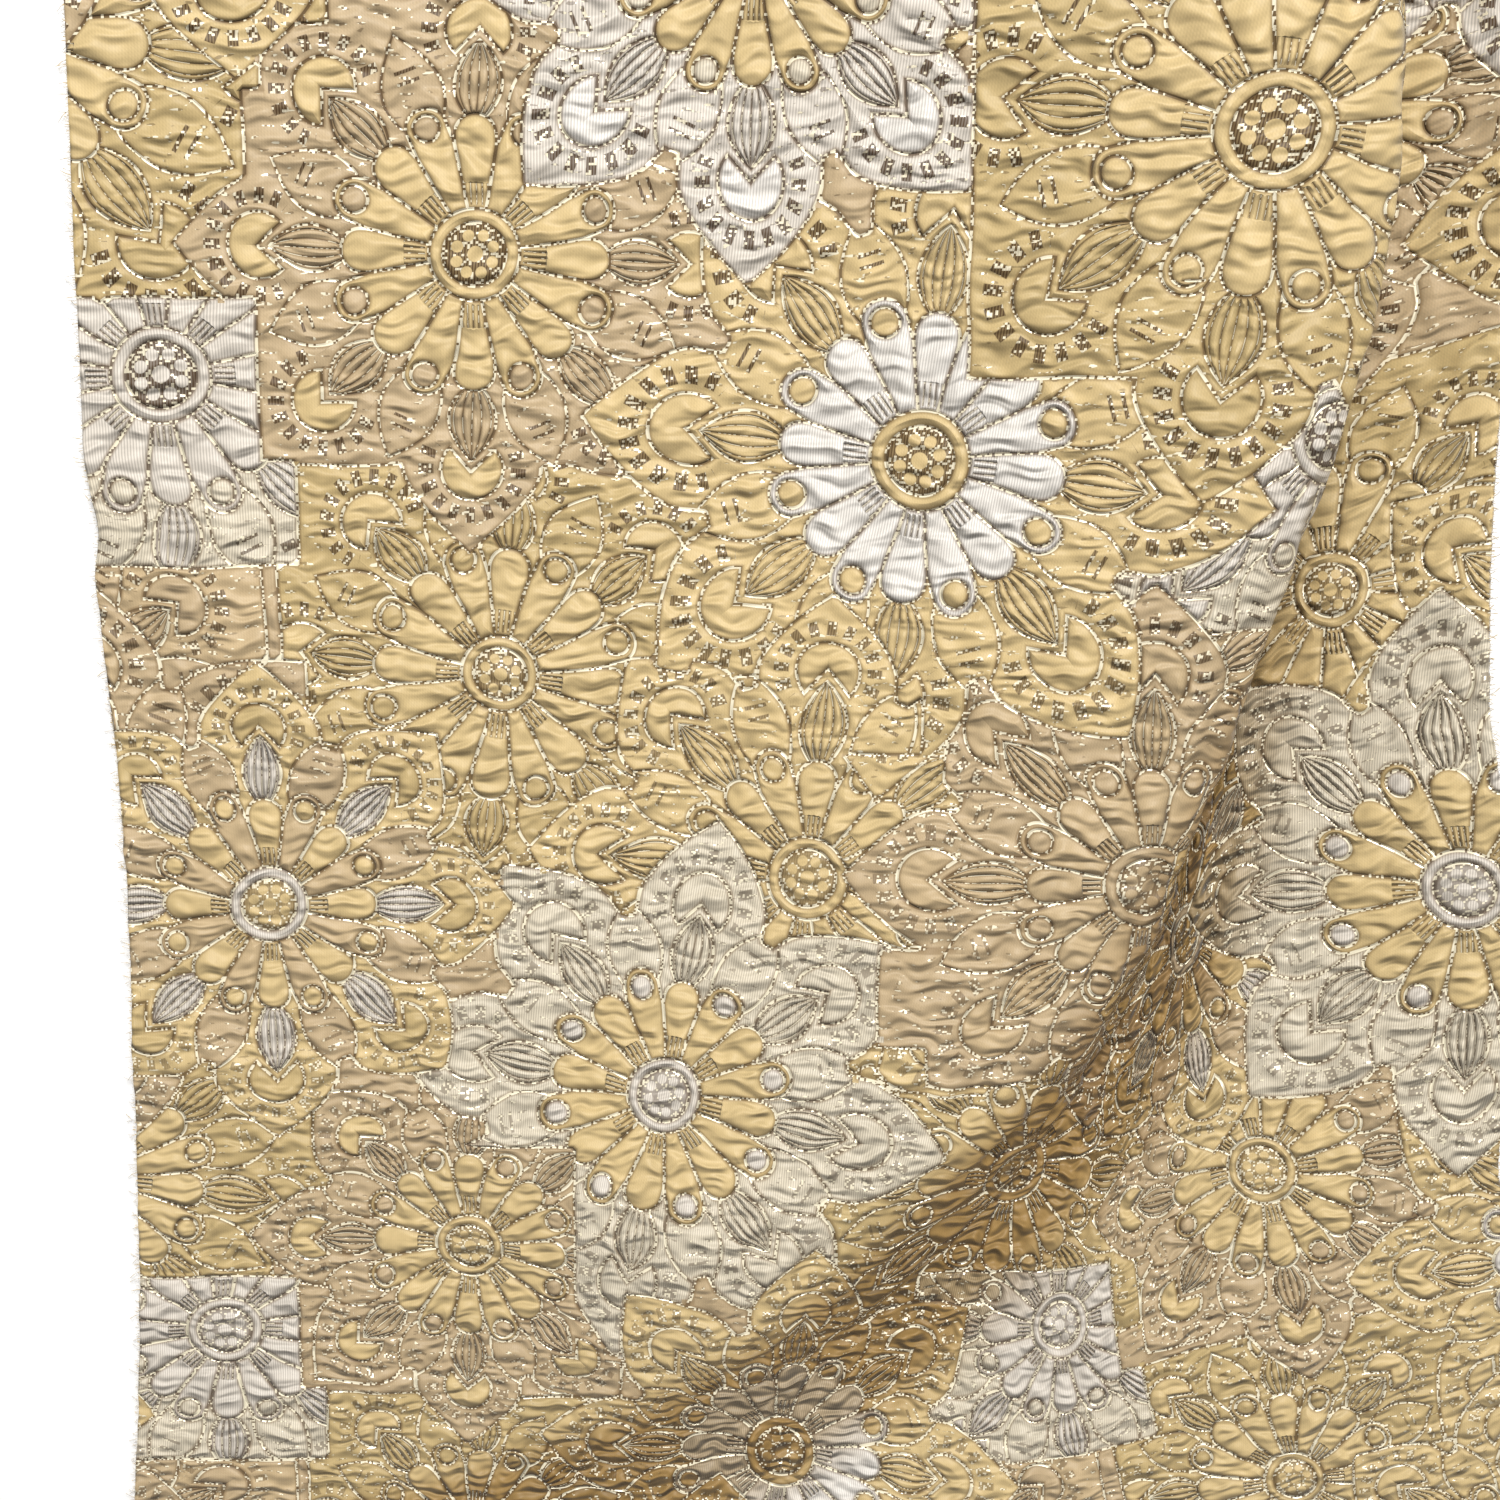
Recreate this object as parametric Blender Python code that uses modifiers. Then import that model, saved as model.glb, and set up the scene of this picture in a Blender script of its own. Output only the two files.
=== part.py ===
"""A cut length of puffed brocade, lying on a surface with one large curved fold.

The left panel lies flat. The cloth rises from it to a long crest, rolls over the crest and
tucks back under itself, touches down again in a valley, and climbs to the right-hand cut edge.
The fold follows an arc, so every section across it is one profile on a line from the arc's centre.
Lengths are in millimetres until the mesh is placed, which is in metres, +Z up.
"""
import math

import bmesh
import bpy
import numpy as np

MM = 0.001

# Cloth
NAME = "brocade_cloth"
THICKNESS = 1.5
CLOTH_COLOUR = (0.62, 0.50, 0.32, 1.0)
CLOTH_ROUGHNESS = 0.55
CLOTH_METALLIC = 0.15

# Cut edges on the flat cloth, each a point and an outward direction
LEFT_CUT = ((-144.0, 0.0), (-1.0, 0.0))
TOP_CUT = ((0.0, 174.0), (0.0, 1.0))
BOTTOM_CUT = ((0.0, -236.0), (-0.08, -1.0))
RIGHT_CUT = ((226.0, 0.0), (1.0, -0.20))

# How far the left and right cut edges wander outwards, and how deep into the cloth that reaches
WANDER_COLUMNS = ("up", "left", "right")
WANDER_TABLE = (
    (-240.0, 7.0, 0.0),
    (-190.0, 7.0, 0.0),
    (-165.0, 4.5, -2.0),
    (-130.0, 2.0, -4.0),
    (-90.0, 0.5, 2.0),
    (-60.0, -0.5, 3.0),
    (-30.0, -1.0, 0.0),
    (0.0, -0.5, 2.0),
    (20.0, 0.8, 4.0),
    (40.0, 1.6, 6.5),
    (50.0, -0.2, 7.0),
    (66.0, 2.2, 8.0),
    (110.0, 1.8, 9.0),
    (174.0, 0.0, 8.0),
)
WANDER_DEPTH = 45.0

# Fold arc, seen from above
ARC_CENTRE = (-183.0, 116.0)
ARC_RADIUS = 312.0

# The cloth beyond the fold is turned by this much about this point
TURN_CENTRE = (57.0, -193.0)
TURN_ANGLE = math.radians(17.0)

# Sections across the fold, one row for each angle round the arc's centre.
# Places are distances out from the arc, heights are above the surface.
SECTION_COLUMNS = (
    "angle", "ramp", "crest_at", "crest", "lip", "lip_up", "tuck", "tuck_up",
    "valley", "valley_end", "mound_at", "mound", "turn_from", "turn_to",
)
SECTION_TABLE = (
    (62.0, -120.0, -25.5, 34.0, 4.5, 24.0, -40.0, 9.0, -14.0, 6.0, 40.0, 32.0, -10.0, 100.0),
    (14.0, -120.0, -25.5, 34.0, 4.5, 24.0, -40.0, 9.0, -14.0, 6.0, 40.0, 32.0, -10.0, 100.0),
    (2.0, -120.0, -27.5, 33.0, 2.5, 23.0, -34.0, 8.5, -10.0, 4.0, 42.0, 36.0, -10.0, 95.0),
    (-8.0, -112.0, -31.5, 31.0, -3.5, 21.0, -30.0, 8.0, -10.0, 2.0, 48.0, 40.0, -12.0, 85.0),
    (-16.0, -104.0, -33.5, 26.0, -7.5, 17.0, -22.0, 7.0, -6.0, 4.0, 58.0, 38.0, -12.0, 75.0),
    (-22.0, -100.0, -31.5, 22.0, -5.5, 14.0, -10.0, 6.0, 0.0, 10.0, 68.0, 32.0, -10.0, 70.0),
    (-28.0, -96.0, -29.5, 18.0, -1.5, 12.0, 3.0, 4.0, 12.0, 20.0, 78.0, 26.0, -5.0, 75.0),
    (-36.0, -92.0, -27.0, 15.5, 2.0, 11.0, 12.0, 2.0, 23.0, 29.0, 88.0, 19.0, 5.0, 90.0),
    (-44.0, -88.0, -28.0, 14.0, 0.0, 9.0, 18.0, 1.0, 29.0, 34.0, 92.0, 13.0, 20.0, 110.0),
    (-52.0, -80.0, -26.0, 12.0, 4.0, 7.0, 22.0, 0.8, 33.0, 38.0, 94.0, 9.0, 35.0, 125.0),
    (-58.0, -66.0, -20.0, 10.0, 6.0, 5.0, 23.0, 0.6, 34.0, 40.0, 95.0, 7.0, 45.0, 135.0),
    (-63.0, -60.0, -16.0, 2.0, 6.0, 1.2, 22.0, 0.2, 34.0, 42.0, 95.0, 5.0, 50.0, 140.0),
    (-68.0, -60.0, -16.0, 0.0, 6.0, 0.0, 22.0, 0.0, 34.0, 44.0, 95.0, 3.5, 50.0, 140.0),
    (-90.0, -60.0, -16.0, 0.0, 6.0, 0.0, 22.0, 0.0, 34.0, 44.0, 95.0, 3.0, 50.0, 140.0),
)

# Softening between the rows in degrees, spacing of the level ends, roundness of the lip,
# and where along the curve, counted in control points, the valley lies
ANGLE_BLUR = 2.0
KNOT_GAP = 30.0
LIP_ROUND = 4.0
VALLEY_KNOT = 9.0

# Chart of the sections: spacing of its rows and of its points across the fold
CHART_ANGLE_STEP = 1.0
CHART_ACROSS = (-420.0, 420.0)
CHART_POINTS = 841
CURVE_POINTS = 500

# Low ridges on the flat panel: two ends, half width and height
RIDGE_COLUMNS = ("x0", "y0", "x1", "y1", "half_width", "height")
RIDGE_TABLE = (
    (-138.0, 60.0, -96.0, 6.0, 12.0, 1.6),
    (-150.0, -66.0, -104.0, -84.0, 10.0, 1.4),
    (-60.0, -96.0, -8.0, -118.0, 14.0, 2.2),
    (10.0, 20.0, 36.0, -40.0, 16.0, 1.8),
)

# Grid lines of the solid: from, to and step, in degrees round the arc and in mm across it
ANGLE_ZONES = ((-89.0, -67.0, 4.4), (-67.0, -49.0, 1.8), (-49.0, 19.0, 3.1), (19.0, 61.0, 6.0))
ACROSS_ZONES = ((-296.0, -136.0, 20.0), (-136.0, -44.0, 9.2), (-44.0, 112.0, 3.9), (112.0, 280.0, 10.5))


def turned(points, angle, centre):
    """Turn flat points about a centre."""
    cos_a = math.cos(angle)
    sin_a = math.sin(angle)
    x = points[..., 0] - centre[0]
    y = points[..., 1] - centre[1]
    return np.stack((centre[0] + x * cos_a - y * sin_a, centre[1] + x * sin_a + y * cos_a), axis=-1)


def smooth_step(low, high, value):
    """Rise from 0 at low to 1 at high, level at both ends."""
    t = np.clip((value - low) / (high - low), 0.0, 1.0)
    return t * t * (3.0 - 2.0 * t)


def section_rows(angles):
    """Read every column of the section table at the given angles, softened between rows."""
    table = np.array(SECTION_TABLE)[::-1]
    offsets = np.linspace(-2.0, 2.0, 9)
    weights = np.exp(-0.5 * offsets ** 2)
    weights /= weights.sum()
    rows = {}
    for column, name in enumerate(SECTION_COLUMNS[1:], start=1):
        value = np.zeros_like(angles)
        for offset, weight in zip(offsets, weights):
            value += weight * np.interp(angles + offset * ANGLE_BLUR, table[:, 0], table[:, column])
        rows[name] = value
    return rows


def section_cage(row):
    """Control points, as offset and height, of one section's curve."""
    ramp = row["ramp"]
    half_way = 0.5 * (ramp + row["crest_at"])
    cage = [
        (ramp - 3.0 * KNOT_GAP, 0.0),
        (ramp - 2.0 * KNOT_GAP, 0.0),
        (ramp - KNOT_GAP, 0.0),
        (ramp, 0.0),
        (half_way, 0.5 * row["crest"]),
        (row["crest_at"], row["crest"]),
        (row["lip"] - LIP_ROUND, row["crest"]),
        (row["lip"] + LIP_ROUND, row["lip_up"]),
        (row["tuck"], row["tuck_up"]),
        (row["tuck"], 0.0),
        (row["valley"], 0.0),
        (row["valley_end"], 0.0),
        (0.5 * (row["valley_end"] + row["mound_at"]), 0.55 * row["mound"]),
        (row["mound_at"], row["mound"]),
        (row["mound_at"] + KNOT_GAP, row["mound"]),
        (row["mound_at"] + 2.0 * KNOT_GAP, row["mound"]),
        (row["mound_at"] + 3.0 * KNOT_GAP, row["mound"]),
    ]
    return np.array(cage)


def spline(cage, samples):
    """Points of the uniform cubic B-spline of a cage."""
    spans = len(cage) - 3
    t = np.linspace(0.0, spans - 1e-9, samples)
    first = t.astype(int)
    u = (t - first)[:, None]
    p0 = cage[first]
    p1 = cage[first + 1]
    p2 = cage[first + 2]
    p3 = cage[first + 3]
    curve = (
        (1.0 - u) ** 3 * p0
        + (3.0 * u ** 3 - 6.0 * u ** 2 + 4.0) * p1
        + (-3.0 * u ** 3 + 3.0 * u ** 2 + 3.0 * u + 1.0) * p2
        + u ** 3 * p3
    ) / 6.0
    return t, curve


class Drape:
    """The fold as a chart: offset and height for each angle and each length of cloth across."""

    def __init__(self):
        self.angles = np.arange(-90.0, 62.0 + CHART_ANGLE_STEP, CHART_ANGLE_STEP)
        self.across = np.linspace(CHART_ACROSS[0], CHART_ACROSS[1], CHART_POINTS)
        self.rows = section_rows(self.angles)
        self.offset = np.zeros((len(self.angles), CHART_POINTS))
        self.height = np.zeros((len(self.angles), CHART_POINTS))
        self.hidden = np.zeros(len(self.angles))
        for index in range(len(self.angles)):
            row = {name: column[index] for name, column in self.rows.items()}
            self.fill_row(index, section_cage(row))

    def fill_row(self, index, cage):
        """Measure one section along the cloth and write it into the chart."""
        t, curve = spline(cage, CURVE_POINTS)
        steps = np.hypot(np.diff(curve[:, 0]), np.diff(curve[:, 1]))
        length = curve[0, 0] + np.concatenate(([0.0], np.cumsum(steps)))
        self.offset[index] = np.interp(self.across, length, curve[:, 0])
        self.height[index] = np.interp(self.across, length, curve[:, 1])
        before = self.across < length[0]
        after = self.across > length[-1]
        self.offset[index][before] = self.across[before]
        self.offset[index][after] = curve[-1, 0] + self.across[after] - length[-1]
        self.hidden[index] = np.interp(VALLEY_KNOT, t, length - curve[:, 0])

    def column(self, name, angle):
        """One column of the section table at any angles."""
        return np.interp(angle, self.angles, self.rows[name])

    def hidden_length(self, angle):
        """Cloth taken up between the flat panel and the valley."""
        return np.interp(angle, self.angles, self.hidden)

    def read(self, chart, angle, across):
        """Value of a chart between its rows and points."""
        row = np.clip((angle - self.angles[0]) / CHART_ANGLE_STEP, 0.0, len(self.angles) - 1.001)
        step = self.across[1] - self.across[0]
        point = np.clip((across - self.across[0]) / step, 0.0, CHART_POINTS - 1.001)
        i = row.astype(int)
        j = point.astype(int)
        a = row - i
        b = point - j
        low = chart[i, j] * (1.0 - b) + chart[i, j + 1] * b
        high = chart[i + 1, j] * (1.0 - b) + chart[i + 1, j + 1] * b
        return low * (1.0 - a) + high * a

    def place(self, flat):
        """Where points of the flat cloth lie when it is folded."""
        angle_near, radius_near = polar(flat)
        angle_far, radius_far = polar(turned(flat, TURN_ANGLE, TURN_CENTRE))
        across_near = radius_near - ARC_RADIUS
        turn_from = self.column("turn_from", angle_near)
        turn_to = self.column("turn_to", angle_near)
        share = smooth_step(turn_from, turn_to, across_near)
        angle = angle_near + share * (angle_far - angle_near)
        across_far = radius_far - ARC_RADIUS + self.hidden_length(angle)
        across = across_near + share * (across_far - across_near)
        radius = ARC_RADIUS + self.read(self.offset, angle, across)
        x = ARC_CENTRE[0] + radius * np.cos(np.radians(angle)) + edge_wander(flat)
        y = ARC_CENTRE[1] + radius * np.sin(np.radians(angle))
        z = self.read(self.height, angle, across)
        return np.stack((x, y, z + low_ridges(x, y)), axis=-1)

    def flat_point(self, angle, across):
        """A point of the flat cloth near the given angle and length across."""
        near = from_polar(angle, ARC_RADIUS + across)
        far = from_polar(angle, ARC_RADIUS + across - self.hidden_length(angle))
        far = turned(far, -TURN_ANGLE, TURN_CENTRE)
        turn_from = self.column("turn_from", angle)
        turn_to = self.column("turn_to", angle)
        share = smooth_step(turn_from, turn_to, across)[..., None]
        return near * (1.0 - share) + far * share


def polar(points):
    """Angle in degrees and distance from the arc's centre."""
    x = points[..., 0] - ARC_CENTRE[0]
    y = points[..., 1] - ARC_CENTRE[1]
    return np.degrees(np.arctan2(y, x)), np.hypot(x, y)


def from_polar(angle, radius):
    """Point at an angle and a distance from the arc's centre."""
    x = ARC_CENTRE[0] + radius * np.cos(np.radians(angle))
    y = ARC_CENTRE[1] + radius * np.sin(np.radians(angle))
    return np.stack((x, y), axis=-1)


def cut_depth(flat, cut):
    """How far inside a cut edge points of the flat cloth are."""
    point, direction = cut
    size = math.hypot(*direction)
    across = (point[0] - flat[..., 0]) * direction[0] + (point[1] - flat[..., 1]) * direction[1]
    return across / size


def edge_wander(flat):
    """Sideways shift that makes the left and right cut edges uneven."""
    table = dict(zip(WANDER_COLUMNS, np.array(WANDER_TABLE).T))
    left = np.interp(flat[..., 1], table["up"], table["left"])
    right = np.interp(flat[..., 1], table["up"], table["right"])
    left_share = smooth_step(WANDER_DEPTH, 0.0, cut_depth(flat, LEFT_CUT))
    right_share = smooth_step(WANDER_DEPTH, 0.0, cut_depth(flat, RIGHT_CUT))
    return right * right_share - left * left_share


def low_ridges(x, y):
    """Height that the soft ridges of the flat panel add."""
    total = np.zeros_like(x)
    for values in RIDGE_TABLE:
        ridge = dict(zip(RIDGE_COLUMNS, values))
        run_x = ridge["x1"] - ridge["x0"]
        run_y = ridge["y1"] - ridge["y0"]
        along = ((x - ridge["x0"]) * run_x + (y - ridge["y0"]) * run_y) / (run_x ** 2 + run_y ** 2)
        along = np.clip(along, 0.0, 1.0)
        gap = np.hypot(x - ridge["x0"] - along * run_x, y - ridge["y0"] - along * run_y)
        total += ridge["height"] * smooth_step(2.0 * ridge["half_width"], 0.0, gap)
    return total


def grid_lines(zones):
    """Line places of a grid from its zones, ends included once."""
    lines = []
    for start, end, step in zones:
        count = max(1, round((end - start) / step))
        lines.extend(start + (end - start) * k / count for k in range(count))
    lines.append(zones[-1][1])
    return np.array(lines)


def fan_grid(drape):
    """Flat grid whose lines run along and across the fold."""
    angles = grid_lines(ANGLE_ZONES)
    across = grid_lines(ACROSS_ZONES)
    sheet = bmesh.new()
    bmesh.ops.create_grid(sheet, x_segments=len(across) - 1, y_segments=len(angles) - 1, size=1.0)
    unit = np.array([vert.co[:2] for vert in sheet.verts])
    column = np.rint((unit[:, 0] + 1.0) * 0.5 * (len(across) - 1)).astype(int)
    row = np.rint((unit[:, 1] + 1.0) * 0.5 * (len(angles) - 1)).astype(int)
    flat = drape.flat_point(angles[row], across[column])
    for vert, point in zip(sheet.verts, flat):
        vert.co = (point[0], point[1], 0.0)
    return sheet


def cut_edges(sheet):
    """Cut the flat grid along the four cut edges of the cloth."""
    for point, direction in (LEFT_CUT, TOP_CUT, BOTTOM_CUT, RIGHT_CUT):
        bmesh.ops.bisect_plane(
            sheet,
            geom=sheet.verts[:] + sheet.edges[:] + sheet.faces[:],
            dist=0.4,
            plane_co=(*point, 0.0),
            plane_no=(*direction, 0.0),
            clear_outer=True,
        )


def lay_sheet(sheet, drape):
    """Move the flat grid to where the folded cloth lies, in metres, centred on its box."""
    flat = np.array([vert.co[:2] for vert in sheet.verts])
    place = drape.place(flat)
    middle = 0.5 * (place.min(axis=0) + place.max(axis=0))
    middle[2] = 0.0
    for vert, point in zip(sheet.verts, (place - middle) * MM):
        vert.co = point


def cloth_material():
    """Champagne gold satin, as one even finish."""
    material = bpy.data.materials.new("champagne_brocade")
    material.use_nodes = True
    shader = material.node_tree.nodes["Principled BSDF"]
    shader.inputs["Base Color"].default_value = CLOTH_COLOUR
    shader.inputs["Roughness"].default_value = CLOTH_ROUGHNESS
    shader.inputs["Metallic"].default_value = CLOTH_METALLIC
    return material


def cloth(collection):
    """The one piece of cloth, thickened upwards from its underside."""
    drape = Drape()
    sheet = fan_grid(drape)
    cut_edges(sheet)
    lay_sheet(sheet, drape)
    bmesh.ops.triangulate(sheet, faces=sheet.faces[:])
    mesh = bpy.data.meshes.new(NAME)
    sheet.to_mesh(mesh)
    sheet.free()
    mesh.shade_smooth()
    mesh.materials.append(cloth_material())
    piece = bpy.data.objects.new(NAME, mesh)
    collection.objects.link(piece)
    shell = piece.modifiers.new("thickness", "SOLIDIFY")
    shell.thickness = THICKNESS * MM
    shell.offset = 1.0
    shell.use_even_offset = True
    return piece


def build():
    """Clear the scene and build the cloth in its own collection."""
    for old in list(bpy.data.objects):
        bpy.data.objects.remove(old, do_unlink=True)
    collection = bpy.data.collections.new("brocade_fabric")
    bpy.context.scene.collection.children.link(collection)
    cloth(collection)


build()
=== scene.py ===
"""Looks of a cut length of puffed floral brocade that lies in one large curved fold.

The cloth is one thin closed sheet laid by the same folds as the CAD solid, with its ripples and
puckers in the mesh. The woven flowers, the metallic outlines and the weave are in the material,
which reads the sheet's own map of the flat pattern, in metres. The outlines' glints, the shade
beside them and the shade of the valley beside the fold are painted into the material's colour.
Lengths are in millimetres until a mesh is placed.
"""

import math
import random

import bmesh
import bpy
import numpy as np
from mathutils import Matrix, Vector, noise


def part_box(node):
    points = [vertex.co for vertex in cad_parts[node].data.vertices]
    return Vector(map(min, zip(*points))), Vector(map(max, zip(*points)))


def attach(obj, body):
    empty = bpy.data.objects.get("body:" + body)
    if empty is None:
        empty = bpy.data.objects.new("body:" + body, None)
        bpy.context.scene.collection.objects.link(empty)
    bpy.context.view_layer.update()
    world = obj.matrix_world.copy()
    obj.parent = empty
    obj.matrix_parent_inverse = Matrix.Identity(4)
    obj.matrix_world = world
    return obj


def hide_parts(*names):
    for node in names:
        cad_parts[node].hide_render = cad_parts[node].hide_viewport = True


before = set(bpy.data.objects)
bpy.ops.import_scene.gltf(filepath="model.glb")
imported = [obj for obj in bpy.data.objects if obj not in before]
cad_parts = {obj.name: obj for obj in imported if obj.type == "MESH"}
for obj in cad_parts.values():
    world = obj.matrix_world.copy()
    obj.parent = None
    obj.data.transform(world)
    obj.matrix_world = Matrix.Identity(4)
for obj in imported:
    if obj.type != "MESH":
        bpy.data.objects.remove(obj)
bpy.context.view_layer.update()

MM = 0.001

# Cloth, as in the solid
NODE = "brocade_cloth"
THICKNESS = 1.5
LEFT_CUT = ((-144.0, 0.0), (-1.0, 0.0))
TOP_CUT = ((0.0, 174.0), (0.0, 1.0))
BOTTOM_CUT = ((0.0, -236.0), (-0.08, -1.0))
RIGHT_CUT = ((226.0, 0.0), (1.0, -0.20))
CUTS = (LEFT_CUT, TOP_CUT, BOTTOM_CUT, RIGHT_CUT)
FLAT_LOW = (-146.0, -253.0)
FLAT_HIGH = (263.0, 176.0)

# How far the left and right cut edges wander outwards, and how deep into the cloth that reaches
WANDER_COLUMNS = ("up", "left", "right")
WANDER_TABLE = (
    (-240.0, 7.0, 0.0),
    (-190.0, 7.0, 0.0),
    (-165.0, 4.5, -2.0),
    (-130.0, 2.0, -4.0),
    (-90.0, 0.5, 2.0),
    (-60.0, -0.5, 3.0),
    (-30.0, -1.0, 0.0),
    (0.0, -0.5, 2.0),
    (20.0, 0.8, 4.0),
    (40.0, 1.6, 6.5),
    (50.0, -0.2, 7.0),
    (66.0, 2.2, 8.0),
    (110.0, 1.8, 9.0),
    (174.0, 0.0, 8.0),
)
WANDER_DEPTH = 45.0

# Fold arc, seen from above
ARC_CENTRE = (-183.0, 116.0)
ARC_RADIUS = 312.0

# The cloth beyond the fold is turned by this much about this point
TURN_CENTRE = (57.0, -193.0)
TURN_ANGLE = math.radians(17.0)

# Sections across the fold, one row for each angle round the arc's centre
SECTION_COLUMNS = (
    "angle", "ramp", "crest_at", "crest", "lip", "lip_up", "tuck", "tuck_up",
    "valley", "valley_end", "mound_at", "mound", "turn_from", "turn_to",
)
SECTION_TABLE = (
    (62.0, -120.0, -25.5, 34.0, 4.5, 24.0, -40.0, 9.0, -14.0, 6.0, 40.0, 32.0, -10.0, 100.0),
    (14.0, -120.0, -25.5, 34.0, 4.5, 24.0, -40.0, 9.0, -14.0, 6.0, 40.0, 32.0, -10.0, 100.0),
    (2.0, -120.0, -27.5, 33.0, 2.5, 23.0, -34.0, 8.5, -10.0, 4.0, 42.0, 36.0, -10.0, 95.0),
    (-8.0, -112.0, -31.5, 31.0, -3.5, 21.0, -30.0, 8.0, -10.0, 2.0, 48.0, 40.0, -12.0, 85.0),
    (-16.0, -104.0, -33.5, 26.0, -7.5, 17.0, -22.0, 7.0, -6.0, 4.0, 58.0, 38.0, -12.0, 75.0),
    (-22.0, -100.0, -31.5, 22.0, -5.5, 14.0, -10.0, 6.0, 0.0, 10.0, 68.0, 32.0, -10.0, 70.0),
    (-28.0, -96.0, -29.5, 18.0, -1.5, 12.0, 3.0, 4.0, 12.0, 20.0, 78.0, 26.0, -5.0, 75.0),
    (-36.0, -92.0, -27.0, 15.5, 2.0, 11.0, 12.0, 2.0, 23.0, 29.0, 88.0, 19.0, 5.0, 90.0),
    (-44.0, -88.0, -28.0, 14.0, 0.0, 9.0, 18.0, 1.0, 29.0, 34.0, 92.0, 13.0, 20.0, 110.0),
    (-52.0, -80.0, -26.0, 12.0, 4.0, 7.0, 22.0, 0.8, 33.0, 38.0, 94.0, 9.0, 35.0, 125.0),
    (-58.0, -66.0, -20.0, 10.0, 6.0, 5.0, 23.0, 0.6, 34.0, 40.0, 95.0, 7.0, 45.0, 135.0),
    (-63.0, -60.0, -16.0, 2.0, 6.0, 1.2, 22.0, 0.2, 34.0, 42.0, 95.0, 5.0, 50.0, 140.0),
    (-68.0, -60.0, -16.0, 0.0, 6.0, 0.0, 22.0, 0.0, 34.0, 44.0, 95.0, 3.5, 50.0, 140.0),
    (-90.0, -60.0, -16.0, 0.0, 6.0, 0.0, 22.0, 0.0, 34.0, 44.0, 95.0, 3.0, 50.0, 140.0),
)
ANGLE_BLUR = 2.0
KNOT_GAP = 30.0
LIP_ROUND = 4.0
VALLEY_KNOT = 9.0
CHART_ANGLE_STEP = 1.0
CHART_ACROSS = (-420.0, 420.0)
CHART_POINTS = 841
CURVE_POINTS = 500

# Low ridges on the flat panel: two ends, half width and height
RIDGE_COLUMNS = ("x0", "y0", "x1", "y1", "half_width", "height")
RIDGE_TABLE = (
    (-138.0, 60.0, -96.0, 6.0, 12.0, 1.6),
    (-150.0, -66.0, -104.0, -84.0, 10.0, 1.4),
    (-60.0, -96.0, -8.0, -118.0, 14.0, 2.2),
    (10.0, 20.0, 36.0, -40.0, 16.0, 1.8),
)

# Skin: cells of the face and of the underside, how far inside the cut the underside's cells end,
# and the cells of the solid under it
FACE_CELL = 1.42
BACK_CELL = 3.0
BACK_INSET = 3.2
SOLID_CELL = 4.0

# Ripples of the puffed cloth: length along and across the weft, and height
RIPPLE_SIZES = ((15.0, 5.2, 0.80), (34.0, 12.0, 0.8), (9.0, 3.7, 0.48))
PUCKER_SIZES = ((26.0, 4.6, 1.3), (14.0, 3.2, 0.7))
SEED_STEP = 7.3

# Ripples grow towards the front; puckers lie along the fold, where ripples are half as high
RIPPLE_LEAST = 0.55
RIPPLE_GROWTH = (90.0, -60.0)
FOLD_STARTS = (-70.0, -20.0)
FOLD_ENDS = (70.0, 25.0)
FOLD_ANGLES = (-70.0, -50.0)

# Flat pattern: the rows stay level and the warp draws in towards the front
DRAW_IN_POINT = (-118.0, -1109.0)
DRAW_IN_LENGTH = 1271.0
REPEAT = (279.0, 268.0)

# Flowers: yarns, centre on the flat cloth, turn in degrees, and how far out the boss, the ringed
# dots, the kidneys and the tips of the lobes are, in pattern millimetres
FLOWER_COLUMNS = ("yarns", "x", "y", "turn", "boss", "ring", "kidney", "tip")
FLOWER_TABLE = {
    "great": ("great_gold", 109.1, 133.2, 14.5, 12.0, 32.4, 55.6, 78.0),
    "star": ("silver_patch", -127.3, 83.9, 24.0, 11.0, 28.9, 51.0, 72.0),
    "daisy": ("taupe_daisy", -59.3, 109.4, 20.0, 10.2, 29.1, 48.0, 67.0),
    "crown": ("silver_crown", 1.5, 171.9, 21.0, 9.0, 26.5, 46.5, 68.5),
    "white": ("white_daisy", 38.2, 65.9, 15.5, 11.9, 32.9, 56.1, 82.0),
    "row": ("gold_row", -56.2, 17.5, 16.0, 9.6, 31.0, 50.0, 70.0),
    "shade": ("taupe_shade", -162.6, 7.2, 14.0, 11.0, 29.0, 51.0, 70.0),
    "leaved": ("silver_leaved", -110.6, -36.1, 22.5, 10.5, 28.4, 49.9, 67.0),
    "rose": ("gold_daisy", 13.7, -28.3, 17.5, 10.9, 30.5, 55.9, 76.0),
    "blush": ("beige_shade", 89.6, -27.6, 22.5, 11.5, 30.0, 55.7, 80.0),
    "mandala": ("silver_mandala", -19.4, -80.8, 11.5, 10.6, 32.4, 56.0, 82.0),
}

# Repeats that the pull of the fold moved: flower, repeats across and up, centre on the flat cloth
MOVED_COLUMNS = ("flower", "copy", "x", "y")
MOVED_TABLE = (
    ("great", (-1, 0), -160.0, 156.9),
    ("crown", (1, 0), 257.0, 161.0),
    ("star", (0, -1), -124.5, -142.3),
    ("star", (1, -1), 82.6, -143.4),
    ("star", (1, 0), 126.0, 72.0),
    ("daisy", (0, -1), -66.5, -119.9),
    ("daisy", (1, -1), 145.3, -120.4),
    ("white", (0, -1), 8.7, -176.2),
    ("row", (1, 0), 193.4, 5.8),
    ("mandala", (1, 0), 203.0, -65.2),
    ("leaved", (1, 0), 135.3, -58.7),
)

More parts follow.
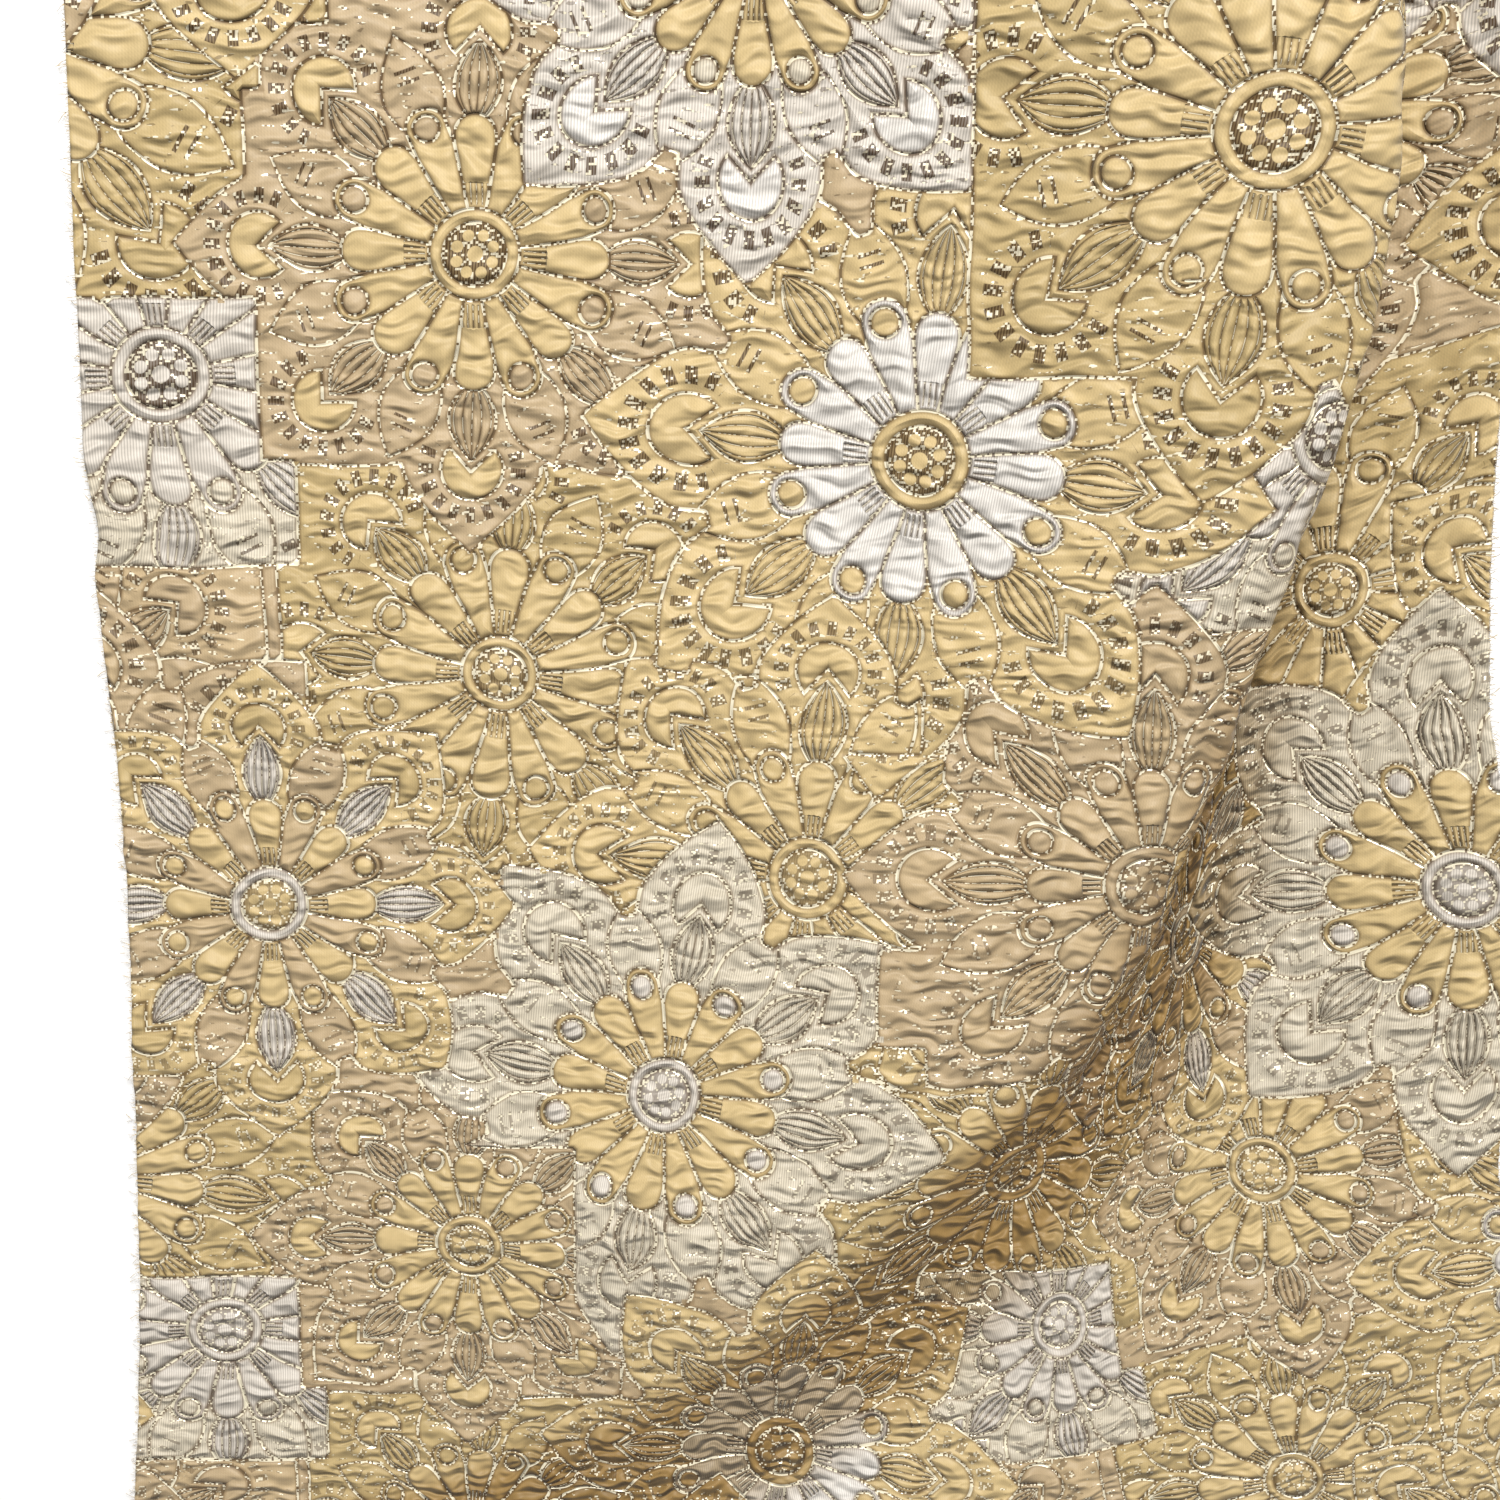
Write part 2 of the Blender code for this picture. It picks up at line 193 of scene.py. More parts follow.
# What shows of the flowers, the part on top first: flower, whether its lotus outline bounds the
# part, how far it is let show left, right, down and up of the centre, and its repeats
HERE = ((0, 0),)
BELOW = ((0, -1),)
RIGHT = ((1, 0),)
SIDEWAYS = ((-1, 0), (0, 0), (1, 0))
LEVEL = ((-1, 0), (0, 0), (1, 0), (0, 1))
ALL_COPIES = ((-1, -1), (0, -1), (1, -1), (-1, 0), (0, 0), (1, 0), (-1, 1), (0, 1), (1, 1))
FAR = 400.0
PART_SHOWN_COLUMNS = ("flower", "lotus", "left", "right", "down", "up", "copies")
PART_SHOWN_TABLE = (
    ("great", False, 62.0, 52.0, 30.0, 60.0, HERE),
    ("great", False, 62.0, -17.0, 51.0, 60.0, HERE),
    ("great", True, 40.0, 22.0, FAR, -30.0, SIDEWAYS),
    ("mandala", True, FAR, FAR, FAR, FAR, RIGHT),
    ("rose", True, 32.0, 30.0, -34.0, FAR, ALL_COPIES),
    ("crown", True, FAR, FAR, FAR, FAR, LEVEL),
    ("white", True, FAR, FAR, FAR, FAR, ALL_COPIES),
    ("leaved", True, FAR, FAR, FAR, FAR, ALL_COPIES),
    ("blush", True, FAR, FAR, FAR, 19.0, ALL_COPIES),
    ("blush", True, 53.0, FAR, FAR, FAR, ALL_COPIES),
    ("blush", False, 70.0, 0.0, 46.0, -19.0, ALL_COPIES),
    ("star", False, 53.0, 21.5, 44.5, 18.0, ALL_COPIES),
    ("star", False, 53.0, 29.0, 44.5, -20.0, ALL_COPIES),
    ("daisy", True, FAR, 33.0, FAR, 33.0, BELOW),
    ("mandala", True, FAR, FAR, FAR, FAR, SIDEWAYS),
    ("rose", True, FAR, FAR, FAR, FAR, ALL_COPIES),
    ("daisy", True, FAR, FAR, FAR, FAR, ALL_COPIES),
    ("shade", False, 60.0, 62.0, 30.0, 40.0, ALL_COPIES),
    ("row", False, 55.0, 66.0, 52.0, 53.0, ALL_COPIES),
    ("great", False, 62.0, 52.0, 57.0, 60.0, ALL_COPIES),
    ("great", False, 62.0, 71.0, 13.0, 60.0, ALL_COPIES),
    ("daisy", False, FAR, FAR, FAR, FAR, HERE),
)
MOST_INSIDE = 30.0
CLOTH_REACH = 330.0
LOBE_CURVE = 1.5
LOBE_SLOPE = 0.8

# Colours as they look in daylight, each 0 to 255
COLOURS = {
    "white": (222, 216, 207),
    "silver": (208, 199, 186),
    "pearl": (205, 194, 172),
    "gold": (207, 182, 131),
    "deep_gold": (193, 169, 119),
    "old_gold": (186, 162, 114),
    "taupe": (188, 165, 129),
    "beige": (194, 170, 131),
    "brown": (112, 82, 42),
    "deep_brown": (76, 52, 24),
    # Painted glint: pale colour given to the metallic thread's shining beads
    "lurex_painted_glint": (255, 244, 214),
}

# Yarn of each part of each kind of flower
PART_COLUMNS = (
    "middle", "boss", "ring_petal", "plain_petal", "dot", "leaf", "kidney", "spade", "ground",
)
DEEP = ("deep_gold", "deep_gold", "deep_gold")
PART_TABLE = {
    "taupe_daisy": ("gold", "gold", "gold", "gold", "taupe", "taupe", "gold", "taupe", "taupe"),
    "beige_shade": ("taupe", "taupe", "beige", "beige", "taupe", "beige", "beige", "taupe", "taupe"),
    "taupe_shade": ("taupe", "taupe", "beige", "beige", "taupe", "taupe", "taupe", "taupe", "beige"),
    "gold_row": ("gold", "gold", "gold", "gold", "deep_gold", "deep_gold", "gold", *DEEP[:2]),
    "gold_daisy": ("gold", "gold", "gold", "gold", "deep_gold", "gold", "gold", "gold", "gold"),
    "silver_mandala": ("silver", "silver", "gold", "gold", "silver", "pearl", "pearl", "pearl", "pearl"),
    "silver_crown": ("silver", "silver", "gold", "gold", "pearl", "silver", "white", "silver", "silver"),
    "silver_leaved": ("gold", "silver", "beige", "gold", "gold", "silver", "deep_gold", "taupe", "gold"),
    "white_daisy": ("gold", "gold", "white", "white", "gold", "gold", "gold", "gold", "gold"),
    "great_gold": ("gold", "gold", "gold", "gold", "gold", "deep_gold", *DEEP),
    "silver_patch": ("silver", "silver", "silver", "silver", "pearl", "silver", "silver", "pearl", "pearl"),
}

# Flower drawing, in units
SECTOR = math.radians(45.0)
BOSS = 0.98
BOSS_LINE = 0.68
BOSS_DOT_AT = 0.42
BOSS_DOT = 0.125
BOSS_MIDDLE = 0.17
RING_PETAL_AT = 2.70
PLAIN_PETAL_AT = 2.38
PETAL_END = 0.44
PETAL_SPREAD = 0.197
DOT_RING = 0.28
LEAF_AT = 3.50
LEAF_HALF_LENGTH = 0.95
LEAF_HALF_WIDTH = 0.50
SPADE_AT = 3.55
SPADE_HALF_LENGTH = 1.30
SPADE_HALF_WIDTH = 0.66
KIDNEY_AT = 4.66
KIDNEY_RADIUS = 0.70
NOTCH_AT = 4.72
NOTCH_HALF_ANGLE = math.radians(42.0)
TICK_AT = 1.04
TICK_HALF_LENGTH = 0.17
TICK_HALF_WIDTH = 0.105
TICK_STEP = math.radians(22.0)
TICK_LAST = 2.2
LEAF_RIB_HALF_STEP = 0.2
LEAF_RIB_FINENESS = 1.6
LEAF_LEAST_HALF = 0.05
FORK_AT = 1.28
FORK_HALF_LENGTH = 0.22
FORK_HALF_STEP = 0.06
FORK_FINENESS = 1.5
FORK_END = 4.0
FINE_GAP = 0.02
STROKE_ROW_AT = 4.02
STROKE_ROW_HALF = 0.22
STROKE_ASIDE = 0.12
STROKE_HALF_LENGTH = 0.13
STROKE_HALF_WIDTH = 0.04
STROKE_HALF_STEP = 0.12
OUT_OF_REACH = 10.0
LOBE_TIP_AT = 6.50
LOBE_HALF_WIDTH = 1.56
LOBE_VALLEY_AT = 4.45

# Thread and relief, in millimetres
LINE_HALF_WIDTH = 0.34
LINE_SOFTNESS = 0.1
SPOT_SOFTNESS = 0.12
SHADE_HALF_WIDTH = 1.05
PUFF_SPREAD = 1.1
PUFF_HEIGHT = 1.25
CRINKLE_SIZE = (9.0, 3.3)
CRINKLE_HEIGHT = 3.3
CRINKLE_SCALE = 1.1
CRINKLE_BEND = 1.5
CRUMPLE_HEIGHT = 3.0
FLECK_SIZE = (0.60, 0.52)
RIB_PITCH = 0.66
TWILL_PITCH = 0.78
WOBBLE = 0.7
WOBBLE_LENGTH = 16.0

# Weave: soft patches, thread strewn on the grounds, and how deep the fine tones go
PATCH_SCALE = 0.13
STREWN_SCALE = (0.27, 0.72, 0.6)
STREWN_SHARE = (0.62, 0.67)
STREWN_DARK = 0.7
RIBBED_BLUE = (0.28, 0.37)
RIB_DEPTH = 0.22
SPOT_RIB_DEPTH = 0.16
SATIN_RIB_DEPTH = 0.035
TWILL_DEPTH = 0.03
EVEN_TONE = 0.87
PATCH_TONE = 0.20
FLECK_TONE = 0.05
SHADE_DEPTH = 0.50

# Metallic thread: its glints are painted into the colour as pale lurex beads, and it is painted darker,
# with fewer painted glints, towards the far end of the pattern; its ticks are lighter towards the front
FAR_REACH = (-140.0, 120.0)
SPOTS_REACH = (-420.0, -60.0)
DARK = 0.58
PAINTED_DARK_FAR = 0.36
LINE_DULL = 0.44
LINE_DULL_FAR = 0.22
LINE_DULL_PATCHES = 1.3
SPOT_DULL = 0.76
STREWN_DULL = 0.62
GLINT_METAL = 0.18
GLINT_POLISH = 0.24
SATIN_ROUGHNESS = 0.52

# Loose yarn ends of the cut edges, in millimetres
FRAY_PITCH = 0.52
FRAY_ROOT = 0.8
FRAY_REACH = 330.0
FRAY_RADIUS = 0.08
FRAY_LENGTHS = (0.5, 0.6, 0.8, 1.0, 1.3, 2.2)
FRAY_SPREAD = (0.6, 1.2)
FRAY_LEAN = 0.45
FRAY_DROOP = (0.1, 1.3)
FRAY_LIFT = 0.75
FRAY_POINTS = 4

# Loose floats of the underside
FLOAT_SCALE = (0.08, 1.7, 1.0)
FLOAT_HEIGHT = 0.4

# Painted shade of the valley beside the fold, multiplied into the colour, and where it rises from the lip
# and ends past the valley; the same share deepens the crumples
PAINTED_VALLEY_SHADE = (0.54, 0.44, 0.30, 1.0)
VALLEY_RISE = (-8.0, 6.0)
VALLEY_FALL = (14.0, -6.0)
VALLEY_ANGLES = (-8.0, -26.0)

# Light of the room, and the window's place and size in metres and its light in watts
WORLD_LIGHT = 0.41
WORLD_COLOUR = (1.0, 0.985, 0.96, 1.0)
WINDOW_PLACE = (0.1, 1.3, 1.55)
WINDOW_SIZE = 0.9
WINDOW_LIGHT = 45.0

# Floor, in metres
FLOOR_HALF = 3.0
FLOOR_DROP = 0.0004

# Camera: the picture's edge in millimetres of sensor, its distance and its lean
SENSOR = 36.0
LENS = 50.4
CAMERA_DISTANCE = 477.0
CAMERA_LEAN = math.radians(12.0)


def turned(points, angle, centre):
    """Turn flat points about a centre."""
    cos_a = math.cos(angle)
    sin_a = math.sin(angle)
    x = points[..., 0] - centre[0]
    y = points[..., 1] - centre[1]
    return np.stack((centre[0] + x * cos_a - y * sin_a, centre[1] + x * sin_a + y * cos_a), axis=-1)


def smooth_step(low, high, value):
    """Rise from 0 at low to 1 at high, level at both ends."""
    t = np.clip((value - low) / (high - low), 0.0, 1.0)
    return t * t * (3.0 - 2.0 * t)


def section_rows(angles):
    """Read every column of the section table at the given angles, softened between rows."""
    table = np.array(SECTION_TABLE)[::-1]
    offsets = np.linspace(-2.0, 2.0, 9)
    weights = np.exp(-0.5 * offsets ** 2)
    weights /= weights.sum()
    rows = {}
    for column, name in enumerate(SECTION_COLUMNS[1:], start=1):
        value = np.zeros_like(angles)
        for offset, weight in zip(offsets, weights):
            value += weight * np.interp(angles + offset * ANGLE_BLUR, table[:, 0], table[:, column])
        rows[name] = value
    return rows


def section_cage(row):
    """Control points, as offset and height, of one section's curve."""
    ramp = row["ramp"]
    half_way = 0.5 * (ramp + row["crest_at"])
    cage = [
        (ramp - 3.0 * KNOT_GAP, 0.0),
        (ramp - 2.0 * KNOT_GAP, 0.0),
        (ramp - KNOT_GAP, 0.0),
        (ramp, 0.0),
        (half_way, 0.5 * row["crest"]),
        (row["crest_at"], row["crest"]),
        (row["lip"] - LIP_ROUND, row["crest"]),
        (row["lip"] + LIP_ROUND, row["lip_up"]),
        (row["tuck"], row["tuck_up"]),
        (row["tuck"], 0.0),
        (row["valley"], 0.0),
        (row["valley_end"], 0.0),
        (0.5 * (row["valley_end"] + row["mound_at"]), 0.55 * row["mound"]),
        (row["mound_at"], row["mound"]),
        (row["mound_at"] + KNOT_GAP, row["mound"]),
        (row["mound_at"] + 2.0 * KNOT_GAP, row["mound"]),
        (row["mound_at"] + 3.0 * KNOT_GAP, row["mound"]),
    ]
    return np.array(cage)


def spline(cage, samples):
    """Points of the uniform cubic B-spline of a cage."""
    spans = len(cage) - 3
    t = np.linspace(0.0, spans - 1e-9, samples)
    first = t.astype(int)
    u = (t - first)[:, None]
    p0 = cage[first]
    p1 = cage[first + 1]
    p2 = cage[first + 2]
    p3 = cage[first + 3]
    curve = (
        (1.0 - u) ** 3 * p0
        + (3.0 * u ** 3 - 6.0 * u ** 2 + 4.0) * p1
        + (-3.0 * u ** 3 + 3.0 * u ** 2 + 3.0 * u + 1.0) * p2
        + u ** 3 * p3
    ) / 6.0
    return t, curve


class Drape:
    """The fold as a chart: offset and height for each angle and each length of cloth across."""

    def __init__(self):
        self.angles = np.arange(-90.0, 62.0 + CHART_ANGLE_STEP, CHART_ANGLE_STEP)
        self.across = np.linspace(CHART_ACROSS[0], CHART_ACROSS[1], CHART_POINTS)
        self.rows = section_rows(self.angles)
        self.offset = np.zeros((len(self.angles), CHART_POINTS))
        self.height = np.zeros((len(self.angles), CHART_POINTS))
        self.hidden = np.zeros(len(self.angles))
        for index in range(len(self.angles)):
            row = {name: column[index] for name, column in self.rows.items()}
            self.fill_row(index, section_cage(row))

    def fill_row(self, index, cage):
        """Measure one section along the cloth and write it into the chart."""
        t, curve = spline(cage, CURVE_POINTS)
        steps = np.hypot(np.diff(curve[:, 0]), np.diff(curve[:, 1]))
        length = curve[0, 0] + np.concatenate(([0.0], np.cumsum(steps)))
        self.offset[index] = np.interp(self.across, length, curve[:, 0])
        self.height[index] = np.interp(self.across, length, curve[:, 1])
        before = self.across < length[0]
        after = self.across > length[-1]
        self.offset[index][before] = self.across[before]
        self.offset[index][after] = curve[-1, 0] + self.across[after] - length[-1]
        self.hidden[index] = np.interp(VALLEY_KNOT, t, length - curve[:, 0])

    def column(self, name, angle):
        """One column of the section table at any angles."""
        return np.interp(angle, self.angles, self.rows[name])

    def hidden_length(self, angle):
        """Cloth taken up between the flat panel and the valley."""
        return np.interp(angle, self.angles, self.hidden)

    def read(self, chart, angle, across):
        """Value of a chart between its rows and points."""
        row = np.clip((angle - self.angles[0]) / CHART_ANGLE_STEP, 0.0, len(self.angles) - 1.001)
        step = self.across[1] - self.across[0]
        point = np.clip((across - self.across[0]) / step, 0.0, CHART_POINTS - 1.001)
        i = row.astype(int)
        j = point.astype(int)
        a = row - i
        b = point - j
        low = chart[i, j] * (1.0 - b) + chart[i, j + 1] * b
        high = chart[i + 1, j] * (1.0 - b) + chart[i + 1, j + 1] * b
        return low * (1.0 - a) + high * a

    def fold_place(self, flat):
        """Angle round the arc and length across it of points of the flat cloth."""
        angle_near, radius_near = polar(flat)
        angle_far, radius_far = polar(turned(flat, TURN_ANGLE, TURN_CENTRE))
        across_near = radius_near - ARC_RADIUS
        turn_from = self.column("turn_from", angle_near)
        turn_to = self.column("turn_to", angle_near)
        share = smooth_step(turn_from, turn_to, across_near)
        angle = angle_near + share * (angle_far - angle_near)
        across_far = radius_far - ARC_RADIUS + self.hidden_length(angle)
        return angle, across_near + share * (across_far - across_near)

    def place(self, flat):
        """Where points of the flat cloth lie when it is folded."""
        angle, across = self.fold_place(flat)
        radius = ARC_RADIUS + self.read(self.offset, angle, across)
        x = ARC_CENTRE[0] + radius * np.cos(np.radians(angle)) + edge_wander(flat)
        y = ARC_CENTRE[1] + radius * np.sin(np.radians(angle))
        z = self.read(self.height, angle, across)
        return np.stack((x, y, z + low_ridges(x, y)), axis=-1)

    def upward(self, flat, step=1.2):
        """Direction square to the folded cloth's face at points of the flat cloth."""
        right = self.place(flat + (step, 0.0)) - self.place(flat - (step, 0.0))
        ahead = self.place(flat + (0.0, step)) - self.place(flat - (0.0, step))
        square = np.cross(right, ahead)
        return square / np.linalg.norm(square, axis=-1, keepdims=True)


def polar(points):
    """Angle in degrees and distance from the arc's centre."""
    x = points[..., 0] - ARC_CENTRE[0]
    y = points[..., 1] - ARC_CENTRE[1]
    return np.degrees(np.arctan2(y, x)), np.hypot(x, y)


def cut_depth(flat, cut):
    """How far inside a cut edge points of the flat cloth are."""
    point, direction = cut
    size = math.hypot(*direction)
    across = (point[0] - flat[..., 0]) * direction[0] + (point[1] - flat[..., 1]) * direction[1]
    return across / size


def edge_wander(flat):
    """Sideways shift that makes the left and right cut edges uneven."""
    table = dict(zip(WANDER_COLUMNS, np.array(WANDER_TABLE).T))
    left = np.interp(flat[..., 1], table["up"], table["left"])
    right = np.interp(flat[..., 1], table["up"], table["right"])
    left_share = smooth_step(WANDER_DEPTH, 0.0, cut_depth(flat, LEFT_CUT))
    right_share = smooth_step(WANDER_DEPTH, 0.0, cut_depth(flat, RIGHT_CUT))
    return right * right_share - left * left_share


def low_ridges(x, y):
    """Height that the soft ridges of the flat panel add."""
    total = np.zeros_like(x)
    for values in RIDGE_TABLE:
        ridge = dict(zip(RIDGE_COLUMNS, values))
        run_x = ridge["x1"] - ridge["x0"]
        run_y = ridge["y1"] - ridge["y0"]
        along = ((x - ridge["x0"]) * run_x + (y - ridge["y0"]) * run_y) / (run_x ** 2 + run_y ** 2)
        along = np.clip(along, 0.0, 1.0)
        gap = np.hypot(x - ridge["x0"] - along * run_x, y - ridge["y0"] - along * run_y)
        total += ridge["height"] * smooth_step(2.0 * ridge["half_width"], 0.0, gap)
    return total


def pattern_place(flat):
    """Place in the woven pattern of points of the flat cloth."""
    x = flat[..., 0] - DRAW_IN_POINT[0]
    y = flat[..., 1] - DRAW_IN_POINT[1]
    return np.stack((DRAW_IN_LENGTH * x / y, DRAW_IN_LENGTH * np.log(y / DRAW_IN_LENGTH)), axis=-1)


def flat_place(pattern):
    """Place on the flat cloth of points of the woven pattern."""
    up = DRAW_IN_LENGTH * np.exp(pattern[1] / DRAW_IN_LENGTH)
    return np.array((pattern[0] * up / DRAW_IN_LENGTH + DRAW_IN_POINT[0], up + DRAW_IN_POINT[1]))


def pulled(flat):
    """Flat place pulled a little out of line by the puffing."""
    pull = [
        uneven(flat[:, 0], flat[:, 1], ((WOBBLE_LENGTH, WOBBLE_LENGTH, WOBBLE),), seed)
        for seed in (60.0, 90.0)
    ]
    return flat + np.stack(pull, axis=-1)


def flower_copy(name, copy):
    """One repeat of a flower: its drawing sizes, its centre and its scale on the flat cloth."""
    flower = dict(zip(FLOWER_COLUMNS, FLOWER_TABLE[name]))
    kinds = list(PART_TABLE)
    flower["number"] = (kinds.index(flower["yarns"]) + 0.5) / len(kinds)
    base = pattern_place(np.array((flower["x"], flower["y"])))
    flower["centre"] = flat_place(base + np.array(copy) * REPEAT)
    for values in MOVED_TABLE:
        moved = dict(zip(MOVED_COLUMNS, values))
        if (moved["flower"], moved["copy"]) == (name, copy):
            flower["centre"] = np.array((moved["x"], moved["y"]))
    flower["scale"] = (flower["centre"][1] - DRAW_IN_POINT[1]) / DRAW_IN_LENGTH
    return flower


def drawing_place(flower, flat):
    """Place in a flower's drawing, in units, and the size of a unit there in millimetres."""
    offset = flat - flower["centre"]
    far = np.hypot(offset[:, 0], offset[:, 1]) + 1e-6
    rings = flower["scale"] * np.array(
        (0.0, flower["boss"], flower["ring"], flower["kidney"], flower["tip"], 4.0 * flower["tip"])
    )
    units = np.array((0.0, BOSS, RING_PETAL_AT, KIDNEY_AT, LOBE_TIP_AT, 4.0 * LOBE_TIP_AT))
    drawn = np.interp(far, rings, units)
    return offset * (drawn / far)[:, None], far / drawn


def lotus_edge(flower, place):
    """How far inside a flower's lotus outline places in its drawing are, in units."""
    far = np.hypot(place[:, 0], place[:, 1])
    angle = np.arctan2(place[:, 1], place[:, 0]) - math.radians(flower["turn"]) - 0.5 * SECTOR
    angle = (angle + 0.5 * SECTOR) % SECTOR - 0.5 * SECTOR
    out = far * np.cos(angle)
    aside = np.abs(far * np.sin(angle))
    share = np.clip((out - KIDNEY_AT) / (LOBE_TIP_AT - KIDNEY_AT), 0.0, 1.0)
    arch = LOBE_SLOPE * (LOBE_HALF_WIDTH * (1.0 - share ** LOBE_CURVE) - aside)
    arch = np.minimum(arch, LOBE_TIP_AT - out)
    return np.maximum(arch, LOBE_VALLEY_AT - far)


def shown_edges(flat):
    """Flowers on the cloth, and how far inside what shows of each the points are."""
    names = []
    flowers = []
    edges = []
    first = np.full(len(flat), -MOST_INSIDE)
    second = first.copy()
    lid = np.full(len(flat), -1)
    for values in PART_SHOWN_TABLE:
        part = dict(zip(PART_SHOWN_COLUMNS, values))
        for copy in part["copies"]:
            flower = flower_copy(part["flower"], copy)
            if np.abs(flower["centre"]).max() > CLOTH_REACH:
                continue
            if (part["flower"], copy) not in names:
                names.append((part["flower"], copy))
                flowers.append(flower)
                edges.append(np.full(len(flat), -MOST_INSIDE))
            index = names.index((part["flower"], copy))
            offset = (flat - flower["centre"]) / flower["scale"]
            edge = np.minimum.reduce((
                offset[:, 0] + part["left"],
                part["right"] - offset[:, 0],
                offset[:, 1] + part["down"],
                part["up"] - offset[:, 1],
            ))
            if part["lotus"]:
                place, unit = drawing_place(flower, flat)
                edge = np.minimum(edge, lotus_edge(flower, place) * unit)
            edge = np.clip(edge, -MOST_INSIDE, MOST_INSIDE)
            above = np.where(lid == index, second, first)
            edges[index] = np.maximum(edges[index], np.minimum(edge, -above))
            rises = edge > first
            second = np.where(rises & (lid != index), first, second)
            second = np.where(~rises & (lid != index), np.maximum(second, edge), second)
            lid = np.where(rises, index, lid)
            first = np.maximum(first, edge)
    return flowers, np.array(edges)


def valley_shade_and_crumple_share(drape, flat):
    """How deep in the valley beside the fold points of the flat cloth lie, 0 to 1; this share sets the
    painted valley shade and the deeper crumples.
    """
    angle, across = drape.fold_place(flat)
    offset = drape.read(drape.offset, angle, across)
    lip = drape.column("lip", angle)
    valley_end = drape.column("valley_end", angle)
    rise = smooth_step(*VALLEY_RISE, offset - lip)
    fall = smooth_step(*VALLEY_FALL, offset - valley_end)
    return rise * fall * smooth_step(*VALLEY_ANGLES, angle)


def write_flowers(mesh, flat, valley):
    """Write the flat pattern and, for each face, its two topmost flowers into the mesh."""
    flat = pulled(flat)
    flowers, edges = shown_edges(flat)
    owner = edges.argmax(axis=0)
    corner = np.zeros(len(mesh.loops), dtype=np.int32)
    mesh.loops.foreach_get("vertex_index", corner)
    first = np.zeros(len(mesh.polygons), dtype=np.int32)
    mesh.polygons.foreach_get("loop_start", first)
    sides = np.diff(np.append(first, len(corner)))
    face = np.repeat(np.arange(len(first)), sides)
    middle = np.stack([np.add.reduceat(flat[corner, axis], first) / sides for axis in (0, 1)], -1)
    corner_owner = owner[corner]
    chosen = {
        "top": np.minimum.reduceat(corner_owner, first),
        "below": np.maximum.reduceat(corner_owner, first),
    }
    chart = mesh.uv_layers.new(name="pattern")
    chart.uv.foreach_set("vector", (pattern_place(flat)[corner] * MM).ravel())
    gaps = np.zeros((len(corner), 3))
    for column, name in enumerate(("top", "below")):
        places = np.zeros((len(corner), 2))
        facts = np.zeros((len(first), 3))
        for index in np.unique(chosen[name]):
            flower = flowers[index]
            here = chosen[name] == index
            inside = here[face]
            places[inside] = drawing_place(flower, flat[corner[inside]])[0]
            facts[here, 0] = flower["number"]
            facts[here, 1] = math.radians(flower["turn"])
            facts[here, 2] = drawing_place(flower, middle[here])[1]
        gaps[:, column] = edges[chosen[name][face], corner]
        chart = mesh.uv_layers.new(name=name + "_flower")
        chart.uv.foreach_set("vector", places.ravel())
        fact = mesh.attributes.new(name + "_facts", "FLOAT_VECTOR", "FACE")
        fact.data.foreach_set("vector", facts.ravel())
    # The third part is the valley share: painted shade in the colour and deeper crumples in the relief
    gaps[:, 2] = valley[corner]
    gap = mesh.attributes.new("flower_gaps", "FLOAT_VECTOR", "CORNER")
    gap.data.foreach_set("vector", gaps.ravel())


def uneven(along, across, sizes, seed):
    """Sum of stretched noises, one for each length, width and height."""
    total = np.zeros(len(along))
    for layer, (length, width, height) in enumerate(sizes):
        lift = seed + SEED_STEP * layer
        total += height * np.array(
            [noise.noise((a / length, b / width, lift)) for a, b in zip(along, across)]
        )
    return total


def relief(drape, flat):
    """Ripples of the puffed cloth and puckers along the fold, as heights over the face."""
    pattern = pattern_place(flat)
    angle, across = drape.fold_place(flat)
    ripples = uneven(pattern[:, 0], pattern[:, 1], RIPPLE_SIZES, 3.0)
    strength = RIPPLE_LEAST + (1.0 - RIPPLE_LEAST) * smooth_step(*RIPPLE_GROWTH, flat[:, 1])
    along = np.radians(angle) * ARC_RADIUS
    puckers = uneven(along, across, PUCKER_SIZES, 41.0)
    folded = smooth_step(*FOLD_STARTS, across) * smooth_step(*FOLD_ENDS, across)
    folded *= smooth_step(*FOLD_ANGLES, angle)
    return ripples * strength * (1.0 - 0.5 * folded) + puckers * folded


def flat_cells(sheet, cell, inset=0.0):
    """Flat grid of cells, cut along the cut edges of the cloth or inside them by an inset."""
    size = (FLAT_HIGH[0] - FLAT_LOW[0], FLAT_HIGH[1] - FLAT_LOW[1], 1.0)
    middle = (0.5 * (FLAT_LOW[0] + FLAT_HIGH[0]), 0.5 * (FLAT_LOW[1] + FLAT_HIGH[1]), 0.0)
    cells = (round(size[0] / cell), round(size[1] / cell))
    made = bmesh.ops.create_grid(sheet, x_segments=cells[0], y_segments=cells[1], size=0.5)["verts"]
    bmesh.ops.scale(sheet, vec=size, verts=made)
    bmesh.ops.translate(sheet, vec=middle, verts=made)
    for point, direction in CUTS:
        outward = Vector(direction).normalized()
        place = Vector(point) - inset * outward
        bmesh.ops.bisect_plane(
            sheet,
            geom=sheet.verts[:] + sheet.edges[:] + sheet.faces[:],
            dist=0.2,
            plane_co=(*place, 0.0),
            plane_no=(*outward, 0.0),
            clear_outer=True,
        )


def open_edges(sheet):
    """Edges with one face."""
    return [edge for edge in sheet.edges if edge.is_boundary]


